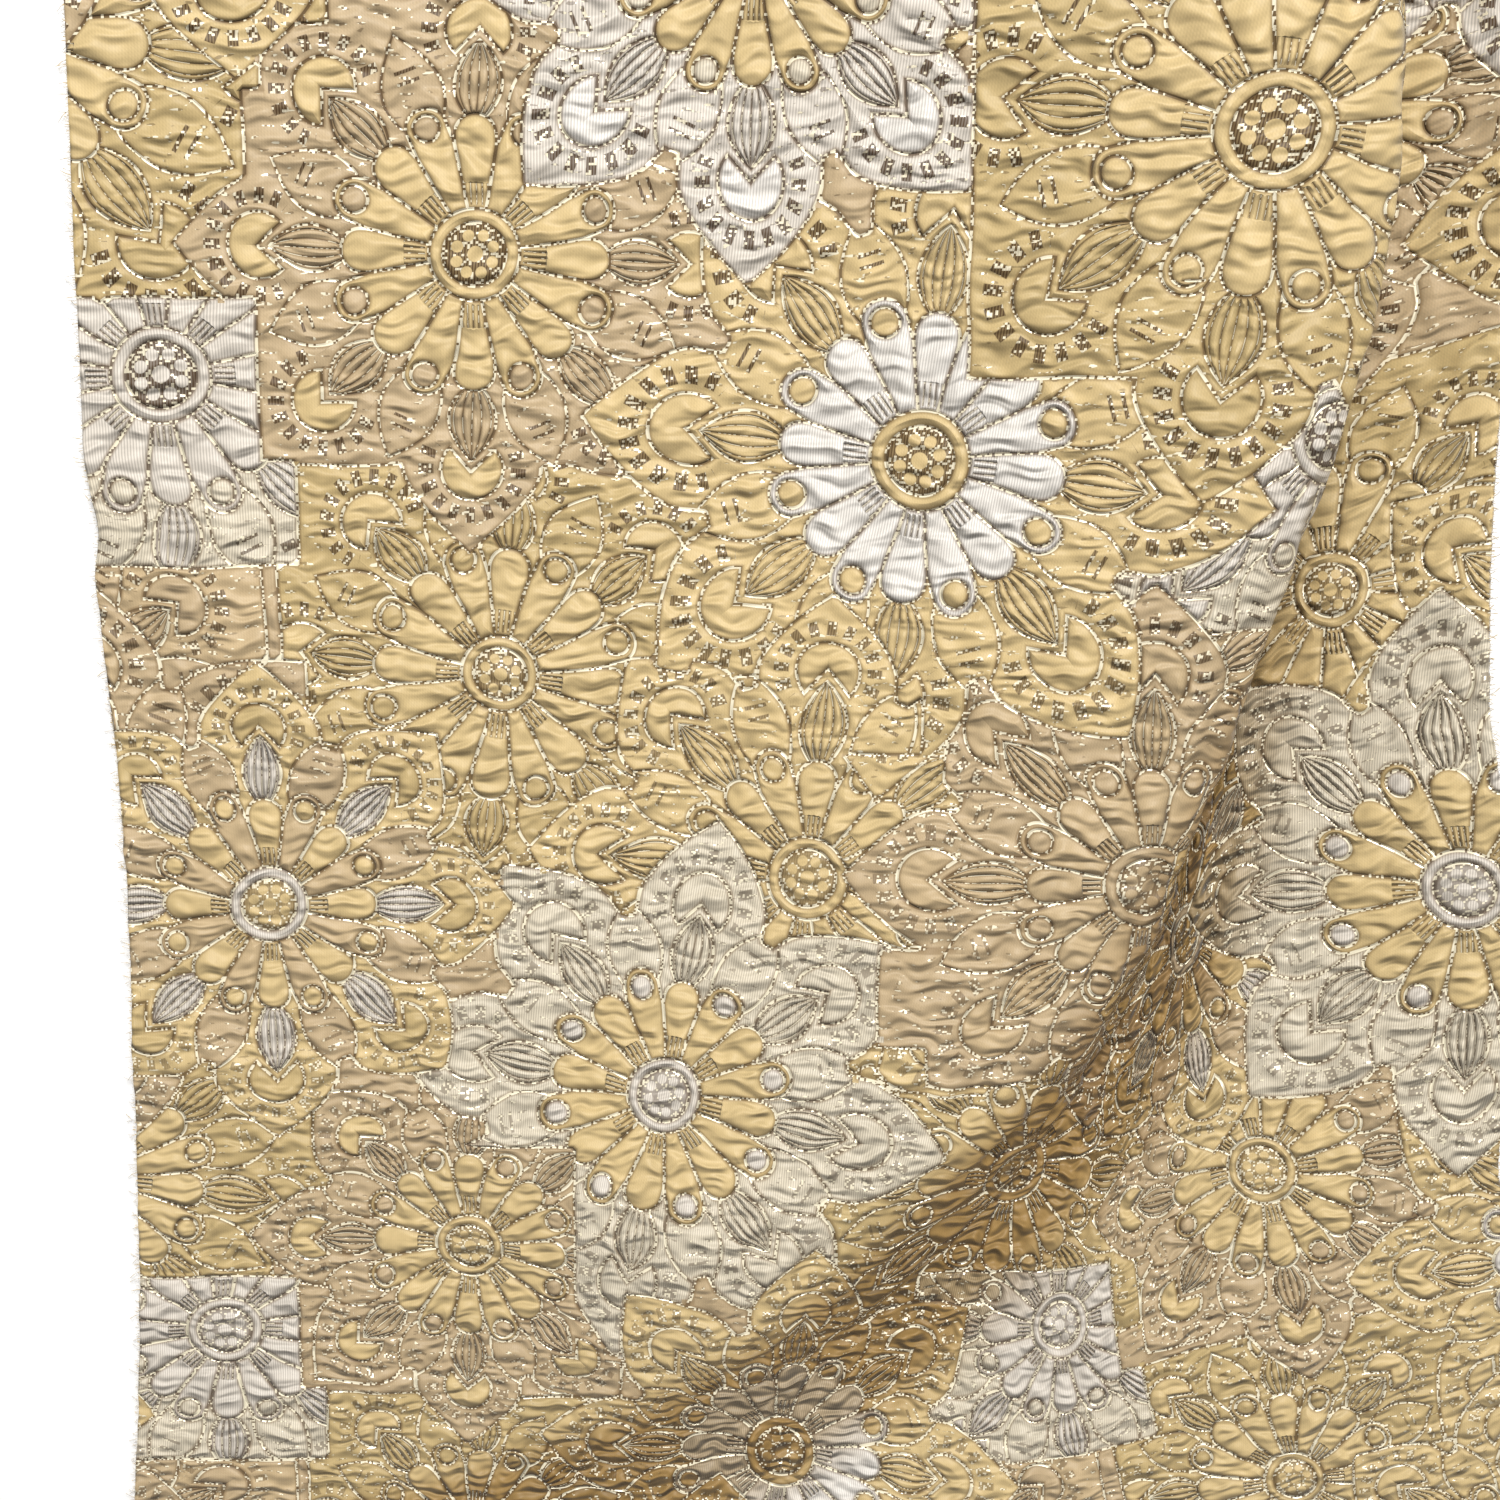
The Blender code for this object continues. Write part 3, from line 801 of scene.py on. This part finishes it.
def flat_skin():
    """Face, rim and underside of the cloth as one closed flat skin. The underside has its own mark."""
    sheet = bmesh.new()
    mark = sheet.verts.layers.int.new("under")
    flat_cells(sheet, BACK_CELL, BACK_INSET)
    for vert in sheet.verts:
        vert[mark] = 1
    back_mesh = bpy.data.meshes.new("back_cells")
    sheet.to_mesh(back_mesh)
    sheet.clear()
    mark = sheet.verts.layers.int.new("under")
    flat_cells(sheet, FACE_CELL)
    rim = bmesh.ops.extrude_edge_only(sheet, edges=open_edges(sheet))["geom"]
    for item in rim:
        if isinstance(item, bmesh.types.BMVert):
            item[mark] = 1
    sheet.from_mesh(back_mesh)
    bpy.data.meshes.remove(back_mesh)
    bmesh.ops.triangle_fill(sheet, use_beauty=True, use_dissolve=False, edges=open_edges(sheet))
    return sheet


def vertex_layer(sheet, name):
    """One whole-number layer of a mesh's vertices as an array."""
    layer = sheet.verts.layers.int[name]
    return np.array([vert[layer] for vert in sheet.verts])


def lay_skin(sheet, drape, shift):
    """Move the flat skin to the folded cloth, and give back its place on the flat cloth."""
    flat = np.array([vert.co[:2] for vert in sheet.verts])
    under = vertex_layer(sheet, "under") > 0
    place = drape.place(flat)
    lift = THICKNESS + relief(drape, flat)
    place += drape.upward(flat) * np.where(under, 0.0, lift)[:, None]
    place[:, 2] = np.maximum(place[:, 2], 0.0)
    for vert, point in zip(sheet.verts, place * MM + shift):
        vert.co = point
    bmesh.ops.recalc_face_normals(sheet, faces=sheet.faces[:])
    return flat


def linked(name, data):
    """Object of this data, put in the scene."""
    piece = bpy.data.objects.new(name, data)
    bpy.context.scene.collection.objects.link(piece)
    return piece


def finished(name, sheet, materials):
    """Make an object of a bmesh, smooth, with its materials."""
    mesh = bpy.data.meshes.new(name)
    sheet.to_mesh(mesh)
    sheet.free()
    mesh.shade_smooth()
    for material in materials:
        mesh.materials.append(material)
    return linked(name, mesh)


def cad_shift(drape):
    """Shift from the drape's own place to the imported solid's, in metres."""
    low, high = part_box(NODE)
    sheet = bmesh.new()
    flat_cells(sheet, SOLID_CELL)
    place = drape.place(np.array([vert.co[:2] for vert in sheet.verts])) * MM
    sheet.free()
    middle = 0.5 * (place.min(axis=0) + place.max(axis=0))
    return np.array((0.5 * (low.x + high.x) - middle[0], 0.5 * (low.y + high.y) - middle[1], 0.0))


def sign(operation, swapped=False):
    """Arithmetic sign between a value and another, as one Math node."""
    def applied(value, other):
        pair = (other, value) if swapped else (value, other)
        return value.chart.math(operation, *pair)
    return applied


class Value:
    """A socket of a material. Arithmetic on it adds Math nodes."""

    def __init__(self, chart, socket):
        self.chart = chart
        self.socket = socket

    __add__ = __radd__ = sign("ADD")
    __mul__ = __rmul__ = sign("MULTIPLY")
    __sub__ = sign("SUBTRACT")
    __rsub__ = sign("SUBTRACT", swapped=True)
    __truediv__ = sign("DIVIDE")
    __lt__ = sign("LESS_THAN")
    __gt__ = sign("GREATER_THAN")

    def __neg__(self):
        return self * -1.0

    def __abs__(self):
        return self.chart.math("ABSOLUTE", self)


class Chart:
    """The nodes of one material."""

    def __init__(self, name):
        self.material = bpy.data.materials.new(name)
        self.material.use_nodes = True
        self.nodes = self.material.node_tree.nodes
        self.links = self.material.node_tree.links
        self.shader = self.nodes["Principled BSDF"]

    def set_socket(self, socket, value):
        """Link a socket to a value, or set its own number."""
        if isinstance(value, Value):
            self.links.new(value.socket, socket)
        else:
            socket.default_value = value

    def node(self, kind, settings=(), values=(), output=0):
        """Add a node, set it up, fill its sockets, and give back one output."""
        made = self.nodes.new(kind)
        for name, setting in dict(settings).items():
            if name == "stops":
                set_stops(made.color_ramp, setting)
            else:
                setattr(made, name, setting)
        for name, value in dict(values).items():
            self.set_socket(made.inputs[name], value)
        return Value(self, made.outputs[output])

    def math(self, operation, *values):
        """One Math node."""
        return self.node("ShaderNodeMath", {"operation": operation}, dict(enumerate(values)))

    def vector(self, operation, *values, output=0):
        """One Vector Math node."""
        return self.node(
            "ShaderNodeVectorMath", {"operation": operation}, dict(enumerate(values)), output
        )

    def uv(self, name):
        """One of the mesh's flat maps."""
        return self.node("ShaderNodeUVMap", {"uv_map": name})

    def attribute(self, name):
        """Three numbers that the mesh carries."""
        return self.node("ShaderNodeAttribute", {"attribute_name": name}, (), "Vector")

    def scale(self, vector, factor):
        """A vector times a number."""
        return self.node(
            "ShaderNodeVectorMath", {"operation": "SCALE"}, {"Vector": vector, "Scale": factor}
        )

    def parts(self, vector):
        """The three parts of a vector."""
        split = self.node("ShaderNodeSeparateXYZ", (), {"Vector": vector})
        outputs = split.socket.node.outputs
        return [Value(self, outputs[index]) for index in range(3)]

    def joined(self, x=0.0, y=0.0, z=0.0):
        """A vector of three values."""
        return self.node("ShaderNodeCombineXYZ", (), {"X": x, "Y": y, "Z": z})

    def least(self, *values):
        """Smallest of some values."""
        result = values[0]
        for value in values[1:]:
            result = self.math("MINIMUM", result, value)
        return result

    def most(self, *values):
        """Largest of some values."""
        result = values[0]
        for value in values[1:]:
            result = self.math("MAXIMUM", result, value)
        return result

    def length(self, x, y):
        """Length of a flat vector given by its parts."""
        return self.vector("LENGTH", self.joined(x, y), output="Value")

    def wrapped(self, value, half):
        """A value brought back to within half a step of zero."""
        return self.math("WRAP", value, half, -half)

    def step(self, value, low, high):
        """Rise from 0 at low to 1 at high, level at both ends."""
        return self.node(
            "ShaderNodeMapRange",
            {"interpolation_type": "SMOOTHSTEP"},
            {"Value": value, "From Min": low, "From Max": high},
        )

    def mixed(self, low, high, share):
        """Blend of two values."""
        return self.node(
            "ShaderNodeMix", {"data_type": "FLOAT"}, {"Factor": share, 2: low, 3: high}
        )

    def mixed_vector(self, low, high, share):
        """Blend of two vectors."""
        return self.node(
            "ShaderNodeMix", {"data_type": "VECTOR"}, {"Factor": share, 4: low, 5: high}, 1
        )

    def mixed_colour(self, low, high, share, blend="MIX"):
        """Blend of two colours."""
        settings = {"data_type": "RGBA", "blend_type": blend}
        return self.node("ShaderNodeMix", settings, {"Factor": share, 6: low, 7: high}, 2)

    def bump(self, height):
        """Normal of a relief given in metres."""
        values = {"Strength": 1.0, "Distance": 1.0, "Height": height}
        return self.node("ShaderNodeBump", (), values)

    def noise(self, vector, scale, detail=0.0, roughness=0.5):
        """Soft noise around 0.5."""
        return self.node(
            "ShaderNodeTexNoise",
            (),
            {"Vector": vector, "Scale": scale, "Detail": detail, "Roughness": roughness},
        )

    def finish(self, values):
        """Fill the shader's sockets."""
        for name, value in values.items():
            self.set_socket(self.shader.inputs[name], value)
        return self.material


def set_stops(ramp, stops):
    """Colour ramp with constant steps, from places and colours."""
    ramp.interpolation = "CONSTANT"
    while len(ramp.elements) < len(stops):
        ramp.elements.new(0.5)
    for element, (place, colour) in zip(ramp.elements, stops):
        element.position = place
        element.color = colour


def paint(name):
    """A named colour as the linear values that Blender works in."""
    shares = [channel / 255.0 for channel in COLOURS[name]]
    linear = [s / 12.92 if s <= 0.04045 else ((s + 0.055) / 1.055) ** 2.4 for s in shares]
    return (*linear, 1.0)


def chosen_flower(chart):
    """Place in the flower that shows, its number, turn and unit, its border's gap, and the valley share
    that sets the painted valley shade and the crumples.
    """
    gaps = chart.attribute("flower_gaps")
    top_gap, below_gap, valley = chart.parts(gaps)
    shows = top_gap > 0.0
    place = chart.mixed_vector(chart.uv("below_flower"), chart.uv("top_flower"), shows)
    facts = chart.mixed_vector(chart.attribute("below_facts"), chart.attribute("top_facts"), shows)
    border = abs(chart.mixed(below_gap, top_gap, shows))
    return place, chart.parts(facts), border, valley


def covered(chart, gap, edge):
    """Gap to the nearest outline once a part with this edge distance lies on top."""
    return chart.least(abs(edge), gap + (edge < 0.0) * OUT_OF_REACH)


def bow_edge(chart, x, y, at, half_length, half_width):
    """Distance outside a pointed leaf shape, and its half width at this place."""
    bow = (x - at) * (1.0 / half_length)
    half = half_width - half_width * (bow * bow)
    return y - half, half


def drawn_flower(chart):
    """Parts of the flower that shows, and gap to the nearest outline in mm."""
    place, (number, turn, unit), border, valley = chosen_flower(chart)
    x, y, _ = chart.parts(place)
    far = chart.length(x, y)
    angle = chart.math("ARCTAN2", y, x) - turn
    valley_turn = abs(chart.wrapped(angle, 0.5 * SECTOR))
    leaf_turn = 0.5 * SECTOR - valley_turn
    ring_side = valley_turn < leaf_turn
    leaf_x = far * chart.math("COSINE", leaf_turn)
    leaf_y = far * chart.math("SINE", leaf_turn)
    petal_turn = chart.least(valley_turn, leaf_turn)
    petal_x = far * chart.math("COSINE", petal_turn)
    petal_y = far * chart.math("SINE", petal_turn)
    off_ring = (1.0 - ring_side) * OUT_OF_REACH

    spade, _ = bow_edge(chart, petal_x, petal_y, SPADE_AT, SPADE_HALF_LENGTH, SPADE_HALF_WIDTH)
    spade = spade + off_ring
    gap = abs(spade)
    stroke = off_ring + chart.most(
        abs(petal_y - STROKE_ASIDE) - STROKE_HALF_LENGTH,
        abs(chart.wrapped(petal_x, STROKE_HALF_STEP)) - STROKE_HALF_WIDTH,
        abs(petal_x - STROKE_ROW_AT) - STROKE_ROW_HALF,
    )

    tick_x = leaf_x - KIDNEY_AT
    kidney_far = chart.length(tick_x, leaf_y)
    round_turn = chart.math("ARCTAN2", leaf_y, tick_x)
    tick_turn = abs(chart.wrapped(round_turn, 0.5 * TICK_STEP))
    tick = chart.most(
        tick_turn * kidney_far - TICK_HALF_WIDTH,
        abs(kidney_far - TICK_AT) - TICK_HALF_LENGTH,
        round_turn - TICK_LAST,
    )
    notch = leaf_y * math.cos(NOTCH_HALF_ANGLE) - (NOTCH_AT - leaf_x) * math.sin(NOTCH_HALF_ANGLE)
    kidney = chart.most(kidney_far - KIDNEY_RADIUS, -notch)
    gap = covered(chart, gap, kidney)

    leaf, leaf_half = bow_edge(chart, leaf_x, leaf_y, LEAF_AT, LEAF_HALF_LENGTH, LEAF_HALF_WIDTH)
    gap = covered(chart, gap, leaf)
    leaf_half = chart.most(leaf_half, LEAF_LEAST_HALF)
    rib = abs(chart.wrapped(leaf_y / leaf_half, LEAF_RIB_HALF_STEP)) * leaf_half
    gap = chart.least(gap, rib * LEAF_RIB_FINENESS + (leaf > 0.0) * OUT_OF_REACH + FINE_GAP)

    end_at = chart.mixed(PLAIN_PETAL_AT, RING_PETAL_AT, ring_side)
    end_x = chart.most(petal_x - end_at, 0.0)
    petal = chart.length(end_x, petal_y) - chart.least(petal_x * PETAL_SPREAD, PETAL_END)
    gap = covered(chart, gap, petal)
    dot_far = chart.length(petal_x - RING_PETAL_AT, petal_y) + off_ring
    gap = chart.least(gap, abs(dot_far - DOT_RING))
    past_fork = chart.most(abs(petal_x - FORK_AT) - FORK_HALF_LENGTH, 0.0)
    fork = abs(chart.wrapped(petal_y, FORK_HALF_STEP)) + past_fork * FORK_END
    gap = chart.least(gap, fork * FORK_FINENESS + ring_side * OUT_OF_REACH + FINE_GAP)

    boss_x = far * chart.math("COSINE", valley_turn) - BOSS_DOT_AT
    boss_y = far * chart.math("SINE", valley_turn)
    boss_dot = chart.least(chart.length(boss_x, boss_y) - BOSS_DOT, far - BOSS_MIDDLE)
    gap = covered(chart, gap, far - BOSS)
    boss_ground = chart.most(far - BOSS_LINE, -boss_dot)
    gap = chart.least(gap, abs(far - BOSS_LINE))

    return {
        "number": number,
        # Valley share: painted shade in the colour and deeper crumples
        "valley": valley,
        "gap": chart.least(gap * unit, border),
        "spots": chart.least(tick, stroke, boss_ground) * unit,
        "boss": far < BOSS,
        "middle": far < BOSS_LINE,
        "petal": petal < 0.0,
        "ring_side": ring_side,
        "dot": dot_far < DOT_RING,
        "leaf": leaf < 0.0,
        "spade": spade < 0.0,
        "kidney": kidney < 0.0,
    }


def part_ramp(chart, number, part):
    """Colour of one part of every flower, chosen by the flower's number."""
    column = PART_COLUMNS.index(part)
    stops = [
        (index / len(PART_TABLE), paint(yarns[column]))
        for index, yarns in enumerate(PART_TABLE.values())
    ]
    return chart.node("ShaderNodeValToRGB", {"stops": stops}, {"Fac": number})


def yarn_colour(chart, drawn):
    """Colour of the satin before outlines and shade."""
    ramps = {part: part_ramp(chart, drawn["number"], part) for part in PART_COLUMNS}
    ramps["petal"] = chart.mixed_colour(
        ramps["plain_petal"], ramps["ring_petal"], drawn["ring_side"]
    )
    colour = ramps["ground"]
    for part in ("spade", "kidney", "leaf", "petal", "dot", "boss", "middle"):
        colour = chart.mixed_colour(colour, ramps[part], drawn[part])
    return colour


def brocade_face():
    """Puffed satin with metallic outlines, drawn from the flat pattern. The outlines' glints, the shade
    beside them and the valley's shade are painted into the colour.
    """
    chart = Chart("puffed_brocade")
    pattern = chart.scale(chart.uv("pattern"), 1000.0)
    drawn = drawn_flower(chart)
    along, up, _ = chart.parts(pattern)
    gap = drawn["gap"]

    pick = chart.joined(
        chart.math("FLOOR", along * (1.0 / FLECK_SIZE[0])),
        chart.math("FLOOR", up * (1.0 / FLECK_SIZE[1])),
    )
    chance = chart.node("ShaderNodeTexWhiteNoise", {"noise_dimensions": "2D"}, {"Vector": pick})
    rib = chart.math("SINE", along * (2.0 * math.pi / RIB_PITCH))
    twill = chart.math("SINE", (along + up) * (2.0 * math.pi / TWILL_PITCH))
    line = chart.step(gap, LINE_HALF_WIDTH + LINE_SOFTNESS, LINE_HALF_WIDTH - LINE_SOFTNESS)
    spots = chart.step(drawn["spots"], SPOT_SOFTNESS, -SPOT_SOFTNESS)
    spots = spots * (1.0 - SPOT_RIB_DEPTH + SPOT_RIB_DEPTH * rib)
    patch = chart.noise(pattern, PATCH_SCALE)
    strewn = chart.noise(chart.vector("MULTIPLY", pattern, STREWN_SCALE), 1.0, 1.0)
    ground = 1.0 - chart.most(drawn["kidney"], drawn["leaf"], drawn["petal"], drawn["boss"])
    strewn = chart.step(strewn, *STREWN_SHARE) * ground

    away = chart.step(up, *FAR_REACH)
    dull = LINE_DULL + LINE_DULL_FAR * away + (patch - 0.5) * LINE_DULL_PATCHES
    # Painted glints: beads of the outlines, ticks and strewn thread that take the pale lurex colour; they
    # are also a little metallic and smoother
    painted_glints = chart.most(
        line * (chance > dull), spots * (chance > SPOT_DULL), strewn * (chance > STREWN_DULL)
    )
    # Dark brown of the metallic thread, painted darker towards the far end of the pattern; the ticks turn
    # lighter towards the front
    dark = chart.most(line, spots, strewn * STREWN_DARK) * (DARK + PAINTED_DARK_FAR * away)
    dark = chart.most(dark, spots * chart.step(up, *SPOTS_REACH))
    shade = chart.step(gap, SHADE_HALF_WIDTH, LINE_HALF_WIDTH) * SHADE_DEPTH

    colour = yarn_colour(chart, drawn)
    _, _, blue = chart.parts(colour)
    satin = twill * TWILL_DEPTH + rib * SATIN_RIB_DEPTH
    fine = chart.mixed(satin, rib * RIB_DEPTH, chart.step(blue, *RIBBED_BLUE))
    tone = EVEN_TONE + PATCH_TONE * patch + fine + FLECK_TONE * chance
    colour = chart.mixed_colour(colour, chart.joined(tone, tone, tone), 1.0, "MULTIPLY")
    colour = chart.mixed_colour(colour, paint("brown"), shade)
    colour = chart.mixed_colour(colour, paint("deep_brown"), dark)
    # Painted shade: the valley beside the fold is darkened in the colour
    colour = chart.mixed_colour(colour, PAINTED_VALLEY_SHADE, drawn["valley"], "MULTIPLY")
    # Painted glints: the beads take the pale lurex colour
    colour = chart.mixed_colour(colour, paint("lurex_painted_glint"), painted_glints)

    crinkle_step = (1.0 / CRINKLE_SIZE[0], 1.0 / CRINKLE_SIZE[1], 1.0)
    bend = chart.joined(0.0, patch * CRINKLE_BEND)
    bent = chart.vector("ADD", chart.vector("MULTIPLY", pattern, crinkle_step), bend)
    crinkle = chart.noise(bent, CRINKLE_SCALE)
    puff = 1.0 - chart.math("EXPONENT", gap * (-1.0 / PUFF_SPREAD))
    raised = chart.mixed(PUFF_HEIGHT, 0.5 * PUFF_HEIGHT, ground)
    crumpled = CRINKLE_HEIGHT + CRUMPLE_HEIGHT * drawn["valley"]
    height = puff * (raised + (crinkle - 0.5) * crumpled)
    return chart.finish({
        "Base Color": colour,
        "Metallic": painted_glints * GLINT_METAL,
        "Roughness": SATIN_ROUGHNESS - painted_glints * GLINT_POLISH,
        "Normal": chart.bump(height * MM),
        "Sheen Weight": 0.10,
        "Sheen Roughness": 0.4,
        "Specular IOR Level": 0.38,
    })


def brocade_floats():
    """Underside of the weave: loose floats of gold and taupe weft."""
    chart = Chart("weft_floats")
    pattern = chart.scale(chart.uv("pattern"), 1000.0)
    streak = chart.noise(chart.vector("MULTIPLY", pattern, FLOAT_SCALE), 1.0, 3.0, 0.6)
    colour = chart.mixed_colour(paint("old_gold"), paint("pearl"), chart.step(streak, 0.35, 0.65))
    return chart.finish({
        "Base Color": colour,
        "Roughness": 0.4 + 0.25 * streak,
        "Normal": chart.bump(streak * (FLOAT_HEIGHT * MM)),
        "Sheen Weight": 0.12,
    })


def brocade_cloth(drape, shift):
    """The cloth: face, rim and underside."""
    sheet = flat_skin()
    flat = lay_skin(sheet, drape, shift)
    under = sheet.verts.layers.int["under"]
    for face in sheet.faces:
        if all(vert[under] for vert in face.verts):
            face.material_index = 1
    piece = finished("brocade_skin", sheet, (brocade_face(), brocade_floats()))
    write_flowers(piece.data, flat, valley_shade_and_crumple_share(drape, flat))
    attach(piece, "root")
    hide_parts(NODE)
    return piece


def frayed_ends(drape, cut, chance):
    """Points of the loose yarn ends along one cut edge, in millimetres."""
    point, direction = cut
    outward = np.array(direction) / math.hypot(*direction)
    beside = np.array((-outward[1], outward[0]))
    steps = np.arange(-FRAY_REACH, FRAY_REACH, FRAY_PITCH)
    steps = steps + np.array([chance.uniform(-0.5, 0.5) for _ in steps]) * FRAY_PITCH
    root = np.array(point) + steps[:, None] * beside
    inside = [cut_depth(root, other) > FRAY_ROOT for other in CUTS if other is not cut]
    root = root[np.all(inside, axis=0)]
    length = np.array([chance.choice(FRAY_LENGTHS) * chance.uniform(*FRAY_SPREAD) for _ in root])
    lean = np.array([chance.gauss(0.0, FRAY_LEAN) for _ in root])
    droop = np.array([chance.uniform(*FRAY_DROOP) for _ in root])
    share = np.linspace(0.0, 1.0, FRAY_POINTS)[None, :]
    out = -FRAY_ROOT + share * (length[:, None] + FRAY_ROOT)
    aside = share ** 2 * (lean * length)[:, None]
    flat = root[:, None, :] + out[..., None] * outward + aside[..., None] * beside
    flat = flat.reshape(-1, 2)
    lift = (FRAY_LIFT + share * (droop[:, None] - FRAY_LIFT)).reshape(-1)
    place = drape.place(flat) + drape.upward(flat) * lift[:, None]
    place[:, 2] = np.maximum(place[:, 2], FRAY_RADIUS)
    return place.reshape(-1, FRAY_POINTS, 3)


def frayed_yarn():
    """Loose satin yarn, some of it pale, some gold."""
    chart = Chart("frayed_yarn")
    place = chart.node("ShaderNodeTexCoord", (), (), "Object")
    mottle = chart.noise(place, 900.0, 1.0)
    colour = chart.mixed_colour(paint("gold"), paint("white"), chart.step(mottle, 0.36, 0.54))
    return chart.finish({"Base Color": colour, "Roughness": 0.5, "Sheen Weight": 0.1})


def frayed_threads(drape, shift):
    """Short yarn ends that stand out of the raw cut edges."""
    chance = random.Random(5)
    bundle = bpy.data.curves.new("frayed_threads", "CURVE")
    bundle.dimensions = "3D"
    bundle.bevel_depth = FRAY_RADIUS * MM
    bundle.bevel_resolution = 0
    bundle.use_fill_caps = True
    for cut in CUTS:
        for points in frayed_ends(drape, cut, chance):
            spline_made = bundle.splines.new("POLY")
            spline_made.points.add(len(points) - 1)
            for spot, place in zip(spline_made.points, points * MM + shift):
                spot.co = (*place, 1.0)
    bundle.materials.append(frayed_yarn())
    piece = linked("frayed_threads", bundle)
    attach(piece, "root")
    return piece


def floor():
    """Plain pale floor under the cloth."""
    sheet = bmesh.new()
    bmesh.ops.create_grid(sheet, x_segments=8, y_segments=8, size=FLOOR_HALF)
    chart = Chart("pale_floor")
    place = chart.node("ShaderNodeTexCoord", (), (), "Object")
    speck = chart.noise(place, 40.0, 3.0)
    white = chart.mixed_colour((0.95, 0.95, 0.95, 1.0), (0.98, 0.98, 0.98, 1.0), speck)
    material = chart.finish({"Base Color": white, "Roughness": 0.8})
    piece = finished("pale_floor", sheet, (material,))
    piece.location.z = -FLOOR_DROP


def soft_lamp(name, place, aim, size, power):
    """One square studio lamp."""
    lamp = bpy.data.lights.new(name, "AREA")
    lamp.size = size
    lamp.energy = power
    stand = linked(name, lamp)
    stand.location = place
    stand.rotation_euler = (Vector(aim) - Vector(place)).to_track_quat("-Z", "Y").to_euler()


def studio():
    """Soft daylight from above, stronger from the far right."""
    world = bpy.data.worlds.new("studio")
    world.use_nodes = True
    world.node_tree.nodes["Background"].inputs["Color"].default_value = WORLD_COLOUR
    world.node_tree.nodes["Background"].inputs["Strength"].default_value = WORLD_LIGHT
    bpy.context.scene.world = world
    bpy.context.scene.view_settings.view_transform = "Standard"
    soft_lamp("window", WINDOW_PLACE, (0.0, 0.0, 0.0), WINDOW_SIZE, WINDOW_LIGHT)


def camera(shift):
    """Camera above the cloth, leaning so that the front of the cloth is farther away."""
    lens = bpy.data.cameras.new("camera")
    lens.sensor_width = SENSOR
    lens.lens = LENS
    lens.clip_start = 0.01
    lens.clip_end = 20.0
    view = linked("camera", lens)
    away = CAMERA_DISTANCE * MM
    place = Vector((0.0, away * math.sin(CAMERA_LEAN), away * math.cos(CAMERA_LEAN)))
    view.location = place + Vector(shift)
    view.rotation_euler = (-CAMERA_LEAN, 0.0, 0.0)
    bpy.context.scene.camera = view


def build():
    """The whole scene."""
    drape = Drape()
    shift = cad_shift(drape)
    skin = brocade_cloth(drape, shift)
    threads = frayed_threads(drape, shift)
    floor()
    studio()
    camera(shift)


build()
